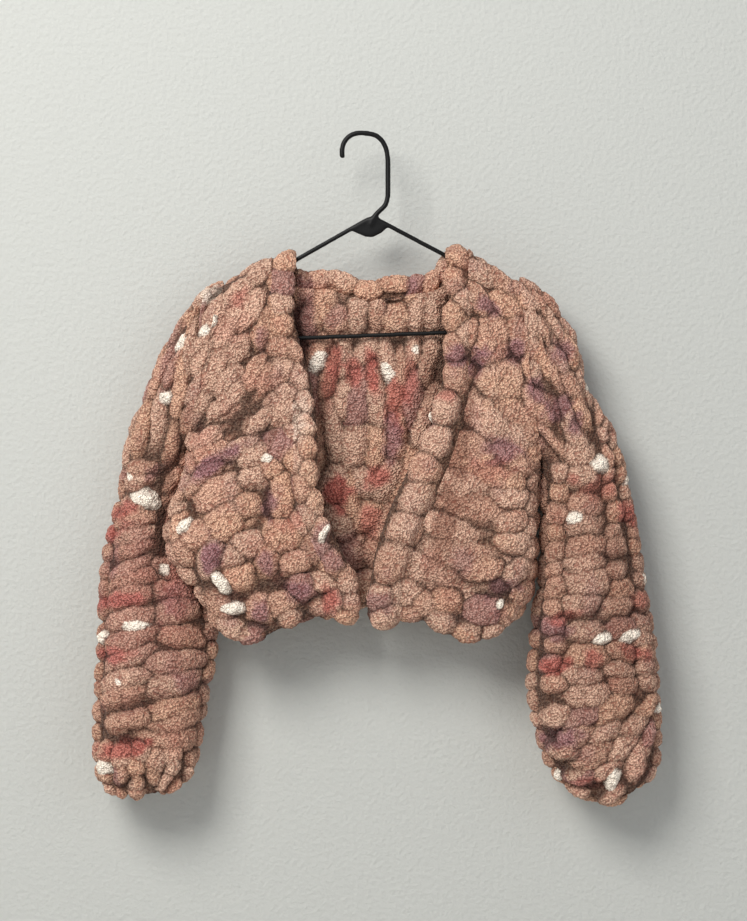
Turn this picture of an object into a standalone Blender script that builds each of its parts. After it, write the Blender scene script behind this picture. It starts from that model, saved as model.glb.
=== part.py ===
"""Knitted bolero hung on a slim clothes hanger.

Metres, +Z up. The origin is the inner apex of the hook, where the hanger rests on its nail or rail.
The hanger lies in the plane y = 0 and the garment's front looks along -Y.
Tables are in millimetres, with their columns named above them."""

import math

import bmesh
import bpy
import numpy as np

MM = 0.001
WALL = 14.0
SEAM = 0.3
HALF_SEAM = SEAM / 2
FRAME_RADIUS = 2.8
HOOK_RADIUS = 3.1
ARM_DEPTH = 24.0
ARM_THICKENING = 0.25
SECTION_POWER = 0.77
BACK_TURN = 22.0
FREE_EDGE_ROUNDING = 3.0

FOLD_ROW = 0.1
SIDE_SHARE = 0.3
ARM_ROW = 0.5
FOLD_ROWS = 3
ARM_ROWS = 7
SIDE_ROWS = 9
SIDE_TURN_COLUMNS = 5
FLAT_COLUMNS = 10
SLEEVE_ROUND = 22
SLEEVE_ROWS = 24
SLEEVE_SETTLE = 0.16
BAND_GAP = 0.6
FACE_LEAN = 0.4
BAND_ROUND = 10

# armhole: x and z of its top, x and z of its underarm
LEFT_ARMHOLE = (-157.3, -161.7, -194.7, -350.9)
RIGHT_ARMHOLE = (170.5, -158.4, 190.3, -367.4)

# side line under the armhole: station, outermost x, z, turn behind that line (degrees), turn radius
LEFT_SIDE = (
    (0.0, -194.7, -350.9, 0.0, 24.0),
    (0.12, -198.0, -372.0, 8.0, 28.0),
    (0.35, -213.5, -412.0, 45.0, 45.0),
    (0.55, -217.0, -447.0, 50.0, 45.0),
    (0.75, -199.0, -482.0, 50.0, 40.0),
    (0.88, -178.0, -509.0, 45.0, 34.0),
    (1.0, -164.0, -539.0, 35.0, 28.0),
)
RIGHT_SIDE = (
    (0.0, 190.3, -367.4, 0.0, 24.0),
    (0.25, 188.5, -405.0, 0.0, 30.0),
    (0.5, 188.0, -440.0, 0.0, 34.0),
    (0.75, 186.5, -478.0, 0.0, 34.0),
    (0.9, 181.0, -505.0, 0.0, 32.0),
    (1.0, 172.0, -521.0, 0.0, 30.0),
)

# front edge under its band: row, x, z
LEFT_FRONT_EDGE = (
    (0.0, -104.5, -132.6),
    (0.05, -104.5, -137.9),
    (0.1, -104.5, -150.6),
    (0.2, -103.0, -195.8),
    (0.3, -95.0, -236.5),
    (0.4, -84.0, -277.2),
    (0.5, -79.5, -317.9),
    (0.6, -79.5, -358.6),
    (0.7, -77.5, -399.3),
    (0.8, -61.5, -441.1),
    (0.9, -43.5, -481.8),
    (1.0, -35.0, -522.5),
)
RIGHT_FRONT_EDGE = (
    (0.0, 115.5, -126.5),
    (0.05, 115.5, -131.8),
    (0.1, 115.5, -144.5),
    (0.2, 115.5, -193.6),
    (0.3, 115.0, -235.4),
    (0.4, 113.5, -276.1),
    (0.5, 107.5, -317.9),
    (0.6, 94.5, -359.7),
    (0.7, 76.5, -401.5),
    (0.8, 58.5, -442.2),
    (0.9, 45.5, -484.0),
    (1.0, 39.0, -525.8),
)

# depth of the fronts in front of the hanger: row, depth
FRONT_DEPTH = (
    (0.0, 18.5),
    (0.1, 18.5),
    (0.25, 21.0),
    (0.45, 27.0),
    (0.65, 38.0),
    (0.82, 46.0),
    (1.0, 42.0),
)
BACK_DEPTH = ((0.0, 20.0), (0.1, 20.0), (0.3, 23.0), (0.6, 25.0), (0.85, 26.0), (1.0, 24.0))

# sag of the hem between the side (0) and the front edge (1): share, drop
LEFT_HEM = ((0.0, 0.0), (0.12, 14.0), (0.25, 20.0), (0.4, 18.0), (0.6, 10.0), (0.8, 4.0), (1.0, 0.0))
RIGHT_HEM = ((0.0, 0.0), (0.12, 13.0), (0.27, 25.0), (0.42, 31.0), (0.6, 26.0), (0.78, 12.0), (1.0, 0.0))
BACK_HEM = ((0.0, 0.0), (0.12, 6.0), (0.3, 0.0), (0.5, -12.0), (0.7, 4.0), (0.88, 13.0), (1.0, 0.0))
HEM_SAG_START = 0.55

# top of the back: x, z, turn over the hanger's arm (0 on the seam, 1 behind the arm)
BACK_TOP = (
    (-157.3, -161.7, 0.0),
    (-140.0, -152.2, 0.0),
    (-122.0, -142.2, 0.0),
    (-104.5, -132.6, 0.0),
    (-99.5, -138.5, 0.5),
    (-94.5, -151.0, 1.0),
    (-86.0, -161.5, 1.0),
    (-70.0, -170.5, 1.0),
    (-38.5, -172.0, 1.0),
    (-18.0, -179.0, 1.0),
    (2.2, -184.8, 1.0),
    (24.0, -181.0, 1.0),
    (46.0, -178.2, 1.0),
    (80.0, -172.0, 1.0),
    (97.0, -157.5, 1.0),
    (105.5, -145.0, 1.0),
    (110.5, -132.4, 0.5),
    (115.5, -126.5, 0.0),
    (133.0, -136.5, 0.0),
    (152.0, -147.5, 0.0),
    (170.5, -158.4, 0.0),
)

# sleeves: outer x, z, inner x, z, middle of the depth, half depth, how much lower the middle hangs
LEFT_SLEEVE = (
    (-157.3, -161.7, -194.7, -350.9, 0.0, 24.0, 0.0),
    (-177.1, -172.7, -198.5, -360.0, 3.0, 24.0, 0.0),
    (-198.0, -199.0, -203.0, -371.0, 7.0, 25.0, 0.0),
    (-225.5, -244.0, -207.5, -384.0, 11.0, 26.0, 0.0),
    (-241.0, -286.0, -210.0, -399.0, 14.0, 26.0, 0.0),
    (-257.0, -320.0, -211.0, -415.0, 16.0, 27.0, 0.0),
    (-265.0, -352.0, -210.5, -432.0, 17.0, 27.0, 0.0),
    (-270.0, -393.0, -207.0, -453.0, 17.0, 28.0, 0.0),
    (-279.0, -424.0, -196.0, -478.0, 16.0, 29.0, 0.0),
    (-287.0, -460.0, -180.0, -504.0, 14.0, 30.0, 0.0),
    (-290.4, -498.0, -168.0, -535.0, 10.0, 32.0, 0.0),
    (-291.5, -554.0, -166.0, -571.0, 4.0, 34.0, 0.0),
    (-294.8, -612.0, -174.9, -615.0, 0.0, 35.0, 0.0),
    (-296.0, -662.0, -182.6, -666.6, -2.0, 35.0, 4.0),
    (-293.0, -697.0, -189.0, -693.0, -3.0, 33.0, 10.0),
    (-285.0, -713.0, -198.0, -708.0, -3.0, 28.0, 14.0),
)
RIGHT_SLEEVE = (
    (170.5, -158.4, 190.3, -367.4, 0.0, 24.0, 0.0),
    (198.0, -173.8, 193.6, -382.8, 2.0, 25.0, 0.0),
    (214.5, -198.0, 194.7, -400.4, 3.0, 27.0, 0.0),
    (233.2, -227.7, 195.8, -422.4, 4.0, 29.0, 0.0),
    (239.8, -273.9, 195.8, -446.6, 4.0, 31.0, 0.0),
    (262.9, -309.1, 193.6, -471.9, 4.0, 32.0, 0.0),
    (280.5, -352.0, 191.4, -497.2, 3.0, 33.0, 0.0),
    (291.5, -404.8, 187.0, -523.6, 2.0, 34.0, 0.0),
    (300.3, -453.2, 183.7, -550.0, 1.0, 35.0, 0.0),
    (306.9, -499.4, 181.5, -576.4, 0.0, 35.0, 0.0),
    (316.8, -554.4, 180.4, -603.9, -1.0, 36.0, 0.0),
    (320.1, -609.4, 184.8, -636.9, -2.0, 36.0, 0.0),
    (322.3, -658.9, 193.6, -669.9, -3.0, 36.0, 3.0),
    (319.0, -695.2, 206.8, -699.6, -3.0, 33.0, 10.0),
    (302.5, -712.8, 225.5, -715.0, -3.0, 28.0, 16.0),
)
# lengthwise ridge on each sleeve's front: angle (0 outer line, 90 front, 180 inner line), height, width
SLEEVE_RIDGES = {"left": (75.0, 4.0, 30.0), "right": (128.0, 8.0, 34.0)}

# bands: row, half width, half thickness, sink towards the body
LEFT_BAND = (
    (0.0, 13.0, 5.5, 2.0),
    (0.1, 13.5, 8.5, -1.5),
    (0.3, 14.5, 10.5, -1.5),
    (0.45, 15.0, 13.0, -1.0),
    (0.7, 15.5, 14.0, 0.0),
    (1.0, 15.0, 13.0, 0.0),
)
RIGHT_BAND = (
    (0.0, 13.0, 5.5, 2.0),
    (0.1, 13.5, 8.5, -1.5),
    (0.3, 15.0, 10.5, -1.5),
    (0.5, 18.0, 14.0, -1.0),
    (0.65, 22.0, 15.0, 0.0),
    (1.0, 20.0, 14.0, 0.0),
)
NECK_BAND = (
    (0.0, 13.0, 5.5, 2.0),
    (0.12, 12.0, 6.5, 0.0),
    (0.5, 12.0, 7.5, 0.0),
    (0.88, 12.0, 6.5, 0.0),
    (1.0, 13.0, 5.5, 2.0),
)

# soft folds over the fronts: start share and row, end share and row, height, width
LEFT_FOLDS = (
    (0.85, 0.3, 0.2, 0.85, 5.0, 0.14),
    (0.95, 0.62, 0.5, 0.98, 4.0, 0.12),
    (0.35, 0.25, 0.05, 0.6, 3.5, 0.12),
)
RIGHT_FOLDS = (
    (0.8, 0.2, 0.35, 0.75, 4.0, 0.13),
    (0.25, 0.55, 0.05, 0.72, 4.5, 0.1),
    (0.75, 0.75, 0.3, 0.95, 4.0, 0.13),
)
BACK_FOLDS = (
    (0.25, 0.1, 0.2, 0.95, 2.0, 0.06),
    (0.48, 0.2, 0.5, 0.95, 2.0, 0.05),
    (0.75, 0.1, 0.8, 0.95, 2.0, 0.06),
)

# hanger, x and z along the rods' middle lines
HOOK_LINE = (
    (-24.7, -24.7),
    (-25.6, -16.0),
    (-23.5, -7.0),
    (-17.0, 0.5),
    (-8.0, 3.5),
    (2.0, 3.0),
    (12.0, 1.0),
    (19.0, -5.0),
    (23.5, -14.0),
    (25.3, -26.0),
    (25.3, -66.0),
    (23.0, -76.0),
    (11.0, -87.0),
    (6.0, -98.0),
)
FRAME_LINE = (
    (8.0, -89.0),
    (-75.9, -136.4),
    (-104.5, -155.0),
    (-140.0, -177.0),
    (-158.0, -190.0),
    (-168.0, -201.0),
    (-171.0, -211.0),
    (-166.0, -221.0),
    (-157.0, -225.5),
    (79.2, -216.7),
    (170.0, -213.5),
    (181.0, -210.0),
    (184.0, -202.0),
    (180.0, -193.0),
    (168.0, -185.0),
    (130.9, -159.0),
    (115.5, -149.0),
    (92.4, -133.6),
)
WEB_LINE = (
    (-16.0, -104.0),
    (-6.0, -95.0),
    (8.0, -88.0),
    (16.0, -94.0),
    (24.0, -101.5),
    (18.0, -107.0),
    (8.0, -112.0),
    (0.0, -111.0),
)
WEB_THICKNESS = 4.0


def clear_scene():
    for old in list(bpy.data.objects):
        bpy.data.objects.remove(old)


def make_material(name, colour, roughness):
    material = bpy.data.materials.new(name)
    material.use_nodes = True
    shader = material.node_tree.nodes["Principled BSDF"]
    shader.inputs["Base Color"].default_value = (*colour, 1.0)
    shader.inputs["Roughness"].default_value = roughness
    shader.inputs["Metallic"].default_value = 0.0
    return material


def make_collection(name):
    collection = bpy.data.collections.new(name)
    bpy.context.scene.collection.children.link(collection)
    return collection


def smooth_read(table, at):
    """Smooth curve through a table whose first column is the station."""
    table = np.asarray(table, float)
    stations = table[:, 0]
    values = table[:, 1:]
    at = np.asarray(at, float)
    slopes = np.gradient(values, stations, axis=0)
    index = np.clip(np.searchsorted(stations, at, side="right") - 1, 0, len(stations) - 2)
    width = (stations[index + 1] - stations[index])[..., None]
    share = (at - stations[index])[..., None] / width
    low = values[index]
    high = values[index + 1]
    rise = share * share * (3 - 2 * share)
    lean = (1 - share) * slopes[index] - share * slopes[index + 1]
    return low + (high - low) * rise + width * share * (1 - share) * lean


def unit(vectors):
    return vectors / np.maximum(np.linalg.norm(vectors, axis=-1, keepdims=True), 1e-9)


def panel_rows():
    """Rows from the shoulder seam over the hanger's arm, down to the underarm and on to the hem."""
    fold = np.linspace(0, FOLD_ROW, FOLD_ROWS + 1)
    arm = np.linspace(FOLD_ROW, ARM_ROW, ARM_ROWS + 1)[1:]
    side = np.linspace(ARM_ROW, 1, SIDE_ROWS + 1)[1:]
    return np.concatenate([fold, arm, side])


def flattened(angle):
    """Section of a flattened tube: shares of its half width and half depth."""
    wide = np.sign(np.cos(angle)) * np.abs(np.cos(angle)) ** SECTION_POWER
    deep = np.sign(np.sin(angle)) * np.abs(np.sin(angle)) ** SECTION_POWER
    return wide, deep


def side_edge(armhole, side, rows):
    """Seam edge of a panel: outermost x, z, share of the armhole's depth, turn behind and its radius."""
    top_x, top_z, under_x, under_z = armhole
    wide, deep = flattened(np.pi * np.minimum(rows / ARM_ROW, 1))
    drop = (1 - wide) / 2
    x = top_x + (under_x - top_x) * drop
    z = top_z + (under_z - top_z) * drop
    below = np.maximum(rows - ARM_ROW, 0) / (1 - ARM_ROW)
    read = smooth_read(side, below)
    under = rows >= ARM_ROW - 1e-9
    x = np.where(under, read[:, 0], x)
    z = np.where(under, read[:, 1], z)
    deep = np.where(under, 0, deep)
    turn = np.where(under, np.radians(read[:, 2]), 0)
    radius = np.where(under, read[:, 3], side[0][4])
    return [value[:, None] for value in (x, z, deep, turn, radius)]


def fold_relief(folds, share, row):
    """Height of the soft folds at each share of the width and row."""
    height = np.zeros(np.broadcast(share, row).shape)
    for share_0, row_0, share_1, row_1, top, width in folds:
        along = np.array([share_1 - share_0, row_1 - row_0])
        length = np.hypot(*along)
        along = along / length
        ahead = (share - share_0) * along[0] + (row - row_0) * along[1]
        aside = (row - row_0) * along[0] - (share - share_0) * along[1]
        past = np.maximum(np.abs(ahead - length / 2) - length / 2, 0)
        height = height + top * np.exp(-((aside / width) ** 2) - (past / width) ** 2)
    return height


def turned_over(row, start=0.0):
    """Share of the quarter turn over the hanger's arm that a row has made."""
    return np.sin(np.pi / 2 * np.minimum(1, row / FOLD_ROW + start))


def front_surfaces(armhole, side, edge, hem, folds, toward, rows, columns):
    """Outer and inner points of a front, one line of points a row, from the side seam to the front edge."""
    x_out, z_side, deep_side, turn, radius = side_edge(armhole, side, rows)
    front = smooth_read(edge, rows)
    row = rows[:, None]
    turning = np.minimum(columns / SIDE_SHARE, 1)[None, :]
    flat = np.maximum(columns - SIDE_SHARE, 0)[None, :] / (1 - SIDE_SHARE)
    angle = -turn + (np.pi / 2 + turn) * turning
    x = x_out + toward * radius * (1 - np.cos(angle))
    x = x + (front[:, 0:1] - x_out - toward * radius) * flat
    x_seam = x_out + toward * radius * (1 - np.cos(turn))
    drape = np.clip((x - x_seam) / (front[:, 0:1] - x_seam), 0, 1)
    hang = np.clip((row - HEM_SAG_START) / (1 - HEM_SAG_START), 0, 1) ** 2
    z = z_side + (front[:, 1:2] - z_side) * drape - smooth_read(hem, drape)[..., 0] * hang
    below_fold = np.clip((row - FOLD_ROW) / FOLD_ROW, 0, 1)
    full = smooth_read(FRONT_DEPTH, rows)[:, 0:1] + fold_relief(folds, drape, row) * below_fold
    behind = full * np.sin(turn) / (1 + np.sin(turn))
    depths = []
    for wall in (0, WALL):
        at_side = (ARM_DEPTH - wall) * deep_side + behind
        here = (full - wall) * turned_over(row)
        ahead = np.where(angle < 0, full - behind, here - at_side)
        depths.append(-HALF_SEAM - at_side - ahead * np.sin(angle))
    outer = np.stack([x, depths[0], z], axis=-1)
    turn_back = angle < -1e-6
    turned = np.zeros(len(columns))
    return outer, wall_inside(outer, depths[1], rows, FRONT, {0: armhole}, turned, turn_back)


def front_columns():
    turn = np.linspace(0, SIDE_SHARE, SIDE_TURN_COLUMNS + 1)
    flat = np.linspace(SIDE_SHARE, 1, FLAT_COLUMNS + 1)[1:]
    return np.concatenate([turn, flat])


def back_columns():
    """Places across the back's top: seam turns, shoulders, neck."""
    turn = BACK_TURN * (1 - np.cos(np.radians([22.5, 45.0, 67.5])))
    left = LEFT_ARMHOLE[0]
    right = RIGHT_ARMHOLE[0]
    middle = [row[0] for row in BACK_TOP]
    return np.array(sorted([*(left + turn), *(right - turn), *middle]))


def back_surfaces(rows, columns):
    """Outer and inner points of the back, from the left side seam to the right one."""
    left = side_edge(LEFT_ARMHOLE, LEFT_SIDE, rows)
    right = side_edge(RIGHT_ARMHOLE, RIGHT_SIDE, rows)
    x_left = left[0] + left[4] * (1 - np.cos(left[3]))
    x_right = right[0] - right[4] * (1 - np.cos(right[3]))
    share = ((columns - columns[0]) / (columns[-1] - columns[0]))[None, :]
    top = corner_read(BACK_TOP, columns)
    row = rows[:, None]
    x = x_left + (x_right - x_left) * share
    level = left[1] + (right[1] - left[1]) * share
    raised = (top[:, 0][None, :] - level[0:1]) * (1 - row) ** 2
    hang = np.clip((row - HEM_SAG_START) / (1 - HEM_SAG_START), 0, 1) ** 2
    z = level + raised - smooth_read(BACK_HEM, share)[..., 0] * hang
    below_fold = np.clip((row - FOLD_ROW) / FOLD_ROW, 0, 1)
    full = smooth_read(BACK_DEPTH, rows)[:, 0:1] + fold_relief(BACK_FOLDS, share, row) * below_fold
    from_left = x - x_left
    from_right = x_right - x
    reach = np.minimum(np.minimum(from_left, from_right) / BACK_TURN, 1)
    near = np.sqrt(np.maximum(1 - (1 - reach) ** 2, 0))
    deep_side = np.where(from_left < from_right, left[2], right[2])
    depths = []
    for wall in (0, WALL):
        at_side = (ARM_DEPTH - wall) * deep_side
        here = (full - wall) * turned_over(row, top[:, 1][None, :])
        depths.append(HALF_SEAM + at_side + (here - at_side) * near)
    outer = np.stack([x, depths[0], z], axis=-1)
    edges = {0: LEFT_ARMHOLE, -1: RIGHT_ARMHOLE}
    return outer, wall_inside(outer, depths[1], rows, BACK, edges, top[:, 1], np.zeros(x.shape, bool))


def corner_read(table, at):
    """Straight reading between the stations, so that the neck's corners stay."""
    table = np.asarray(table, float)
    return np.stack([np.interp(at, table[:, 0], table[:, k]) for k in (1, 2)], axis=-1)


def normals_of(points, outward):
    """Outward directions of a grid of points."""
    across = np.gradient(points, axis=1)
    down = np.gradient(points, axis=0)
    normals = unit(np.cross(across, down))
    middle = normals[points.shape[0] // 2, points.shape[1] // 2]
    if np.dot(middle, outward) < 0:
        normals = -normals
    return normals


def armhole_line(armhole):
    """Direction from the underarm to the armhole's top."""
    across = np.array([armhole[0] - armhole[2], 0, armhole[1] - armhole[3]])
    return across / np.linalg.norm(across)


def armhole_inward(armhole, angle):
    """Way from the armhole's outer points to its inner ones, along the armhole's line."""
    up = armhole_line(armhole)
    wide = flattened(angle)[0]
    return -(WALL * (1 + ARM_THICKENING) * wide)[:, None] * up


def shoulder_directions(turned, left, outward):
    """Directions of a panel's top row: square to the shoulder, or turned over to the outside."""
    armhole, neck = (LEFT_ARMHOLE, LEFT_FRONT_EDGE[0]) if left else (RIGHT_ARMHOLE, RIGHT_FRONT_EDGE[0])
    along = np.array([neck[1] - armhole[0], 0, neck[2] - armhole[1]])
    square = unit(np.array([-along[2], 0, along[0]]))
    square = square * np.sign(square[2])
    angle = (np.pi / 2 * turned)[..., None]
    return np.cos(angle) * square + np.sin(angle) * outward


def wall_inside(outer, depth, rows, outward, edges, turned, turn_back):
    """Inner points of a panel; edges maps the column of a seam to its armhole."""
    normals = normals_of(outer, outward)
    on_left = outer[0, :, 0] < 0
    above = rows < 2 * FOLD_ROW
    keep = np.clip(rows[above] / FOLD_ROW - 1, 0, 1)[:, None, None]
    for left in (True, False):
        here = on_left == left
        if here.any():
            made = np.minimum(rows[above][:, None] / FOLD_ROW + turned[here], 1)
            square = shoulder_directions(made, left, outward)
            normals[np.ix_(above, here)] = square * (1 - keep) + normals[np.ix_(above, here)] * keep
    normals = unit(normals)
    sideways = normals * np.array([1, 0, 1])
    full = unit(sideways)
    sideways[turn_back] = full[turn_back]
    below = rows > FOLD_ROW + 1e-6
    flat = np.clip((np.abs(normals[below, :, 1]) - 0.6) / 0.35, 0, 1)[..., None]
    sideways[below] *= 1 - (1 - FACE_LEAN) * flat
    inner = outer - sideways * WALL
    arm = rows <= ARM_ROW + 1e-6
    for column, armhole in edges.items():
        inner[~arm, column] = outer[~arm, column] - full[~arm, column] * WALL
        inward = armhole_inward(armhole, np.pi * rows[arm] / ARM_ROW)[:, None]
        far = np.abs(outer[arm, :, 0] - outer[arm, column, 0][:, None])
        share = np.clip(far / BACK_TURN, 0, 1)[..., None]
        near = share[..., 0] < 1
        blended = outer[arm] + inward * (1 - share) - sideways[arm] * WALL * share
        mixed = inner[arm]
        mixed[near] = blended[near]
        inner[arm] = mixed
    inner[..., 1] = depth
    return inner


def round_free_edge(outer, inner, row):
    """Draws the last row of a free edge together, so that the edge isn't square."""
    toward = unit(outer[row] - inner[row])
    outer[row] -= toward * FREE_EDGE_ROUNDING
    inner[row] += toward * FREE_EDGE_ROUNDING


def closed_wall(name, outer, inner, tube, material, collection):
    """Closed body between an outer and an inner grid of points; a tube's first and last columns are one."""
    bm = bmesh.new()
    rows, columns = outer.shape[:2]
    grids = []
    for points in (outer, inner):
        grid = bmesh.ops.create_grid(bm, x_segments=columns - 1, y_segments=rows - 1, size=1)["verts"]
        for vert, point in zip(grid, points.reshape(-1, 3)):
            vert.co = point * MM
        grids.append(grid)
    last = (rows - 1) * columns
    lines = [list(range(columns)), list(range(last, last + columns))]
    if not tube:
        lines += [list(range(0, last + 1, columns)), list(range(columns - 1, last + columns, columns))]
    for line in lines:
        for a, b in zip(line, line[1:]):
            bm.faces.new((grids[0][a], grids[0][b], grids[1][b], grids[1][a]))
    if tube:
        bmesh.ops.remove_doubles(bm, verts=bm.verts, dist=1e-6)
    bmesh.ops.recalc_face_normals(bm, faces=bm.faces)
    return finished(name, bm, material, collection)


def finished(name, bm, material, collection):
    mesh = bpy.data.meshes.new(name)
    bm.to_mesh(mesh)
    bm.free()
    mesh.materials.append(material)
    for face in mesh.polygons:
        face.use_smooth = True
    thing = bpy.data.objects.new(name, mesh)
    collection.objects.link(thing)
    return thing


def sleeve_surfaces(table, armhole, ridge, rows, around):
    """Outer and inner points of a sleeve, one ring a row, from its outer line round by the front."""
    table = np.asarray(table, float)
    stations = np.arange(len(table), dtype=float)
    read = smooth_read(np.column_stack([stations, table]), rows * (len(table) - 1))[:, :, None]
    wide, deep = (share[None, :] for share in flattened(around))
    ridge_angle, ridge_height, ridge_width = ridge
    aside = (np.degrees(around) - ridge_angle + 180) % 360 - 180
    grown = np.clip((rows - 0.3) * 4, 0, 1) * np.clip((1 - rows) * 8, 0, 1)
    ridged = grown[:, None] * ridge_height * np.exp(-((aside / ridge_width) ** 2))[None, :]
    x = (read[:, 0] + read[:, 2]) / 2 + (read[:, 0] - read[:, 2]) / 2 * wide
    z = (read[:, 1] + read[:, 3]) / 2 + (read[:, 1] - read[:, 3]) / 2 * wide
    z = z - read[:, 6] * deep**2
    outer_depth = read[:, 4] - (read[:, 5] + ridged) * deep
    inner_depth = read[:, 4] - (read[:, 5] + ridged - WALL) * deep
    outer = np.stack([x, outer_depth, z], axis=-1)
    up = armhole_line(armhole)
    to_body = np.array([-up[2], 0, up[0]]) * (-1 if armhole[0] < 0 else 1)
    outer[0] -= to_body * SEAM
    closed = np.concatenate([outer[:, -2:-1], outer, outer[:, 1:2]], axis=1)
    normals = unit(np.cross(np.gradient(closed, axis=1)[:, 1:-1], np.gradient(outer, axis=0)))
    middle = outer[:, :-1].mean(axis=1, keepdims=True)
    normals *= np.sign(np.sum(normals * (outer - middle)))
    natural = -normals * np.array([1, 0, 1]) * WALL
    share = np.clip(rows / SLEEVE_SETTLE, 0, 1)[:, None, None]
    inner = outer + armhole_inward(armhole, around) * (1 - share) + natural * share
    inner[..., 1] = inner_depth
    return outer, inner


def band_rings(table, outer, inner, rows, toward, ends, around):
    """Rings of a band laid along a panel's edge; ends are the closing rows' directions."""
    read = smooth_read(table, rows)
    middle = (outer + inner) / 2
    normal = unit(outer - inner)
    along = unit(np.gradient(middle, axis=0))
    for row, direction in ends.items():
        along[row] = direction
    beside = unit(np.cross(along, normal))
    beside *= np.sign(np.sum(beside * toward, axis=1))[:, None]
    half_width = read[:, 0:1]
    half_thick = read[:, 1:2]
    centre = middle + beside * (half_width + BAND_GAP) - normal * read[:, 2:3]
    angle = around[None, :, None]
    rings = centre[:, None] + (beside * half_width)[:, None] * np.cos(angle)
    return rings + (normal * half_thick)[:, None] * np.sin(angle), centre, along


def tapered_end(rings, centre, along, row, direction):
    """Two smaller rings that round a band's free end."""
    steps = []
    for share, reach in ((0.8, 6.0), (0.45, 10.0)):
        steps.append(centre[row] + (rings[row] - centre[row]) * share + along[row] * direction * reach)
    return np.array(steps)


def closed_rope(name, rings, material, collection):
    """Closed body through a row of rings, capped at both ends."""
    bm = bmesh.new()
    rows, around = rings.shape[:2]
    loops = [[bm.verts.new(point * MM) for point in ring] for ring in rings]
    for upper, lower in zip(loops, loops[1:]):
        for k in range(around):
            after = (k + 1) % around
            bm.faces.new((upper[k], upper[after], lower[after], lower[k]))
    bm.faces.new(loops[0])
    bm.faces.new(loops[-1])
    bmesh.ops.recalc_face_normals(bm, faces=bm.faces)
    return finished(name, bm, material, collection)


def rod(name, line, radius, closed, collection):
    """Round rod along a line in the hanger's plane, as a mesh."""
    curve = bpy.data.curves.new(name, "CURVE")
    curve.dimensions = "3D"
    curve.bevel_depth = radius * MM
    curve.bevel_resolution = 2
    curve.use_fill_caps = True
    spline = curve.splines.new("POLY")
    spline.points.add(len(line) - 1)
    for point, (x, z) in zip(spline.points, line):
        point.co = (x * MM, 0, z * MM, 1)
    spline.use_cyclic_u = closed
    drawn = bpy.data.objects.new(name + "_line", curve)
    collection.objects.link(drawn)
    bpy.context.view_layer.update()
    mesh = bpy.data.meshes.new_from_object(drawn)
    bpy.data.objects.remove(drawn)
    bm = bmesh.new()
    bm.from_mesh(mesh)
    bmesh.ops.remove_doubles(bm, verts=bm.verts, dist=1e-6)
    bmesh.ops.recalc_face_normals(bm, faces=bm.faces)
    bm.to_mesh(mesh)
    bm.free()
    thing = bpy.data.objects.new(name, mesh)
    collection.objects.link(thing)
    return thing


def web(name, collection):
    """Flat web between the hanger's arms, under the shaft."""
    bm = bmesh.new()
    face = bm.faces.new([bm.verts.new((x * MM, -WEB_THICKNESS / 2 * MM, z * MM)) for x, z in WEB_LINE])
    grown = bmesh.ops.extrude_face_region(bm, geom=[face])["geom"]
    moved = [part for part in grown if isinstance(part, bmesh.types.BMVert)]
    bmesh.ops.translate(bm, verts=moved, vec=(0, WEB_THICKNESS * MM, 0))
    bmesh.ops.recalc_face_normals(bm, faces=bm.faces)
    mesh = bpy.data.meshes.new(name)
    bm.to_mesh(mesh)
    bm.free()
    thing = bpy.data.objects.new(name, mesh)
    collection.objects.link(thing)
    return thing


def join_solid(thing, tool):
    """Unites a tool with a thing for good."""
    joined = thing.modifiers.new("join", "BOOLEAN")
    joined.operation = "UNION"
    joined.solver = "EXACT"
    joined.object = tool
    tool.hide_render = True
    tool.display_type = "WIRE"


def rounded_line(line, closed, steps=3, share=0.3):
    """Line with its corners rounded by short arcs."""
    points = [np.array(point, float) for point in line]
    count = len(points)
    result = []
    for k, corner in enumerate(points):
        if not closed and k in (0, count - 1):
            result.append(corner)
            continue
        before = points[k - 1]
        after = points[(k + 1) % count]
        reach = min(np.linalg.norm(before - corner), np.linalg.norm(after - corner), 20.0) * share
        start = corner + (before - corner) / np.linalg.norm(before - corner) * reach
        end = corner + (after - corner) / np.linalg.norm(after - corner) * reach
        for step in range(steps):
            t = step / (steps - 1)
            result.append((1 - t) ** 2 * start + 2 * t * (1 - t) * corner + t * t * end)
    return result


FRONT = np.array([0, -1.0, 0])
BACK = np.array([0, 1.0, 0])

clear_scene()
garment = make_collection("knitted_bolero")
cutters = make_collection("cutters")
yarn = make_material("chenille_yarn", (0.52, 0.31, 0.24), 0.95)
plastic = make_material("black_plastic", (0.012, 0.012, 0.014), 0.42)

rows = panel_rows()
columns = front_columns()
fronts = {}
for name, armhole, side, edge, hem, folds, toward in (
    ("left_front", LEFT_ARMHOLE, LEFT_SIDE, LEFT_FRONT_EDGE, LEFT_HEM, LEFT_FOLDS, 1),
    ("right_front", RIGHT_ARMHOLE, RIGHT_SIDE, RIGHT_FRONT_EDGE, RIGHT_HEM, RIGHT_FOLDS, -1),
):
    outer, inner = front_surfaces(armhole, side, edge, hem, folds, toward, rows, columns)
    fronts[name] = (outer.copy(), inner.copy())
    round_free_edge(outer, inner, -1)
    closed_wall(name, outer, inner, False, yarn, garment)

across = back_columns()
outer, inner = back_surfaces(rows, across)
back = (outer.copy(), inner.copy())
round_free_edge(outer, inner, -1)
closed_wall("back", outer, inner, False, yarn, garment)

sleeve_rows = np.linspace(0, 1, SLEEVE_ROWS + 1)
around = np.linspace(0, 2 * np.pi, SLEEVE_ROUND + 1)
for name, table, armhole, ridge in (
    ("left_sleeve", LEFT_SLEEVE, LEFT_ARMHOLE, SLEEVE_RIDGES["left"]),
    ("right_sleeve", RIGHT_SLEEVE, RIGHT_ARMHOLE, SLEEVE_RIDGES["right"]),
):
    outer, inner = sleeve_surfaces(table, armhole, ridge, sleeve_rows, around)
    round_free_edge(outer, inner, -1)
    closed_wall(name, outer, inner, True, yarn, garment)

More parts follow.
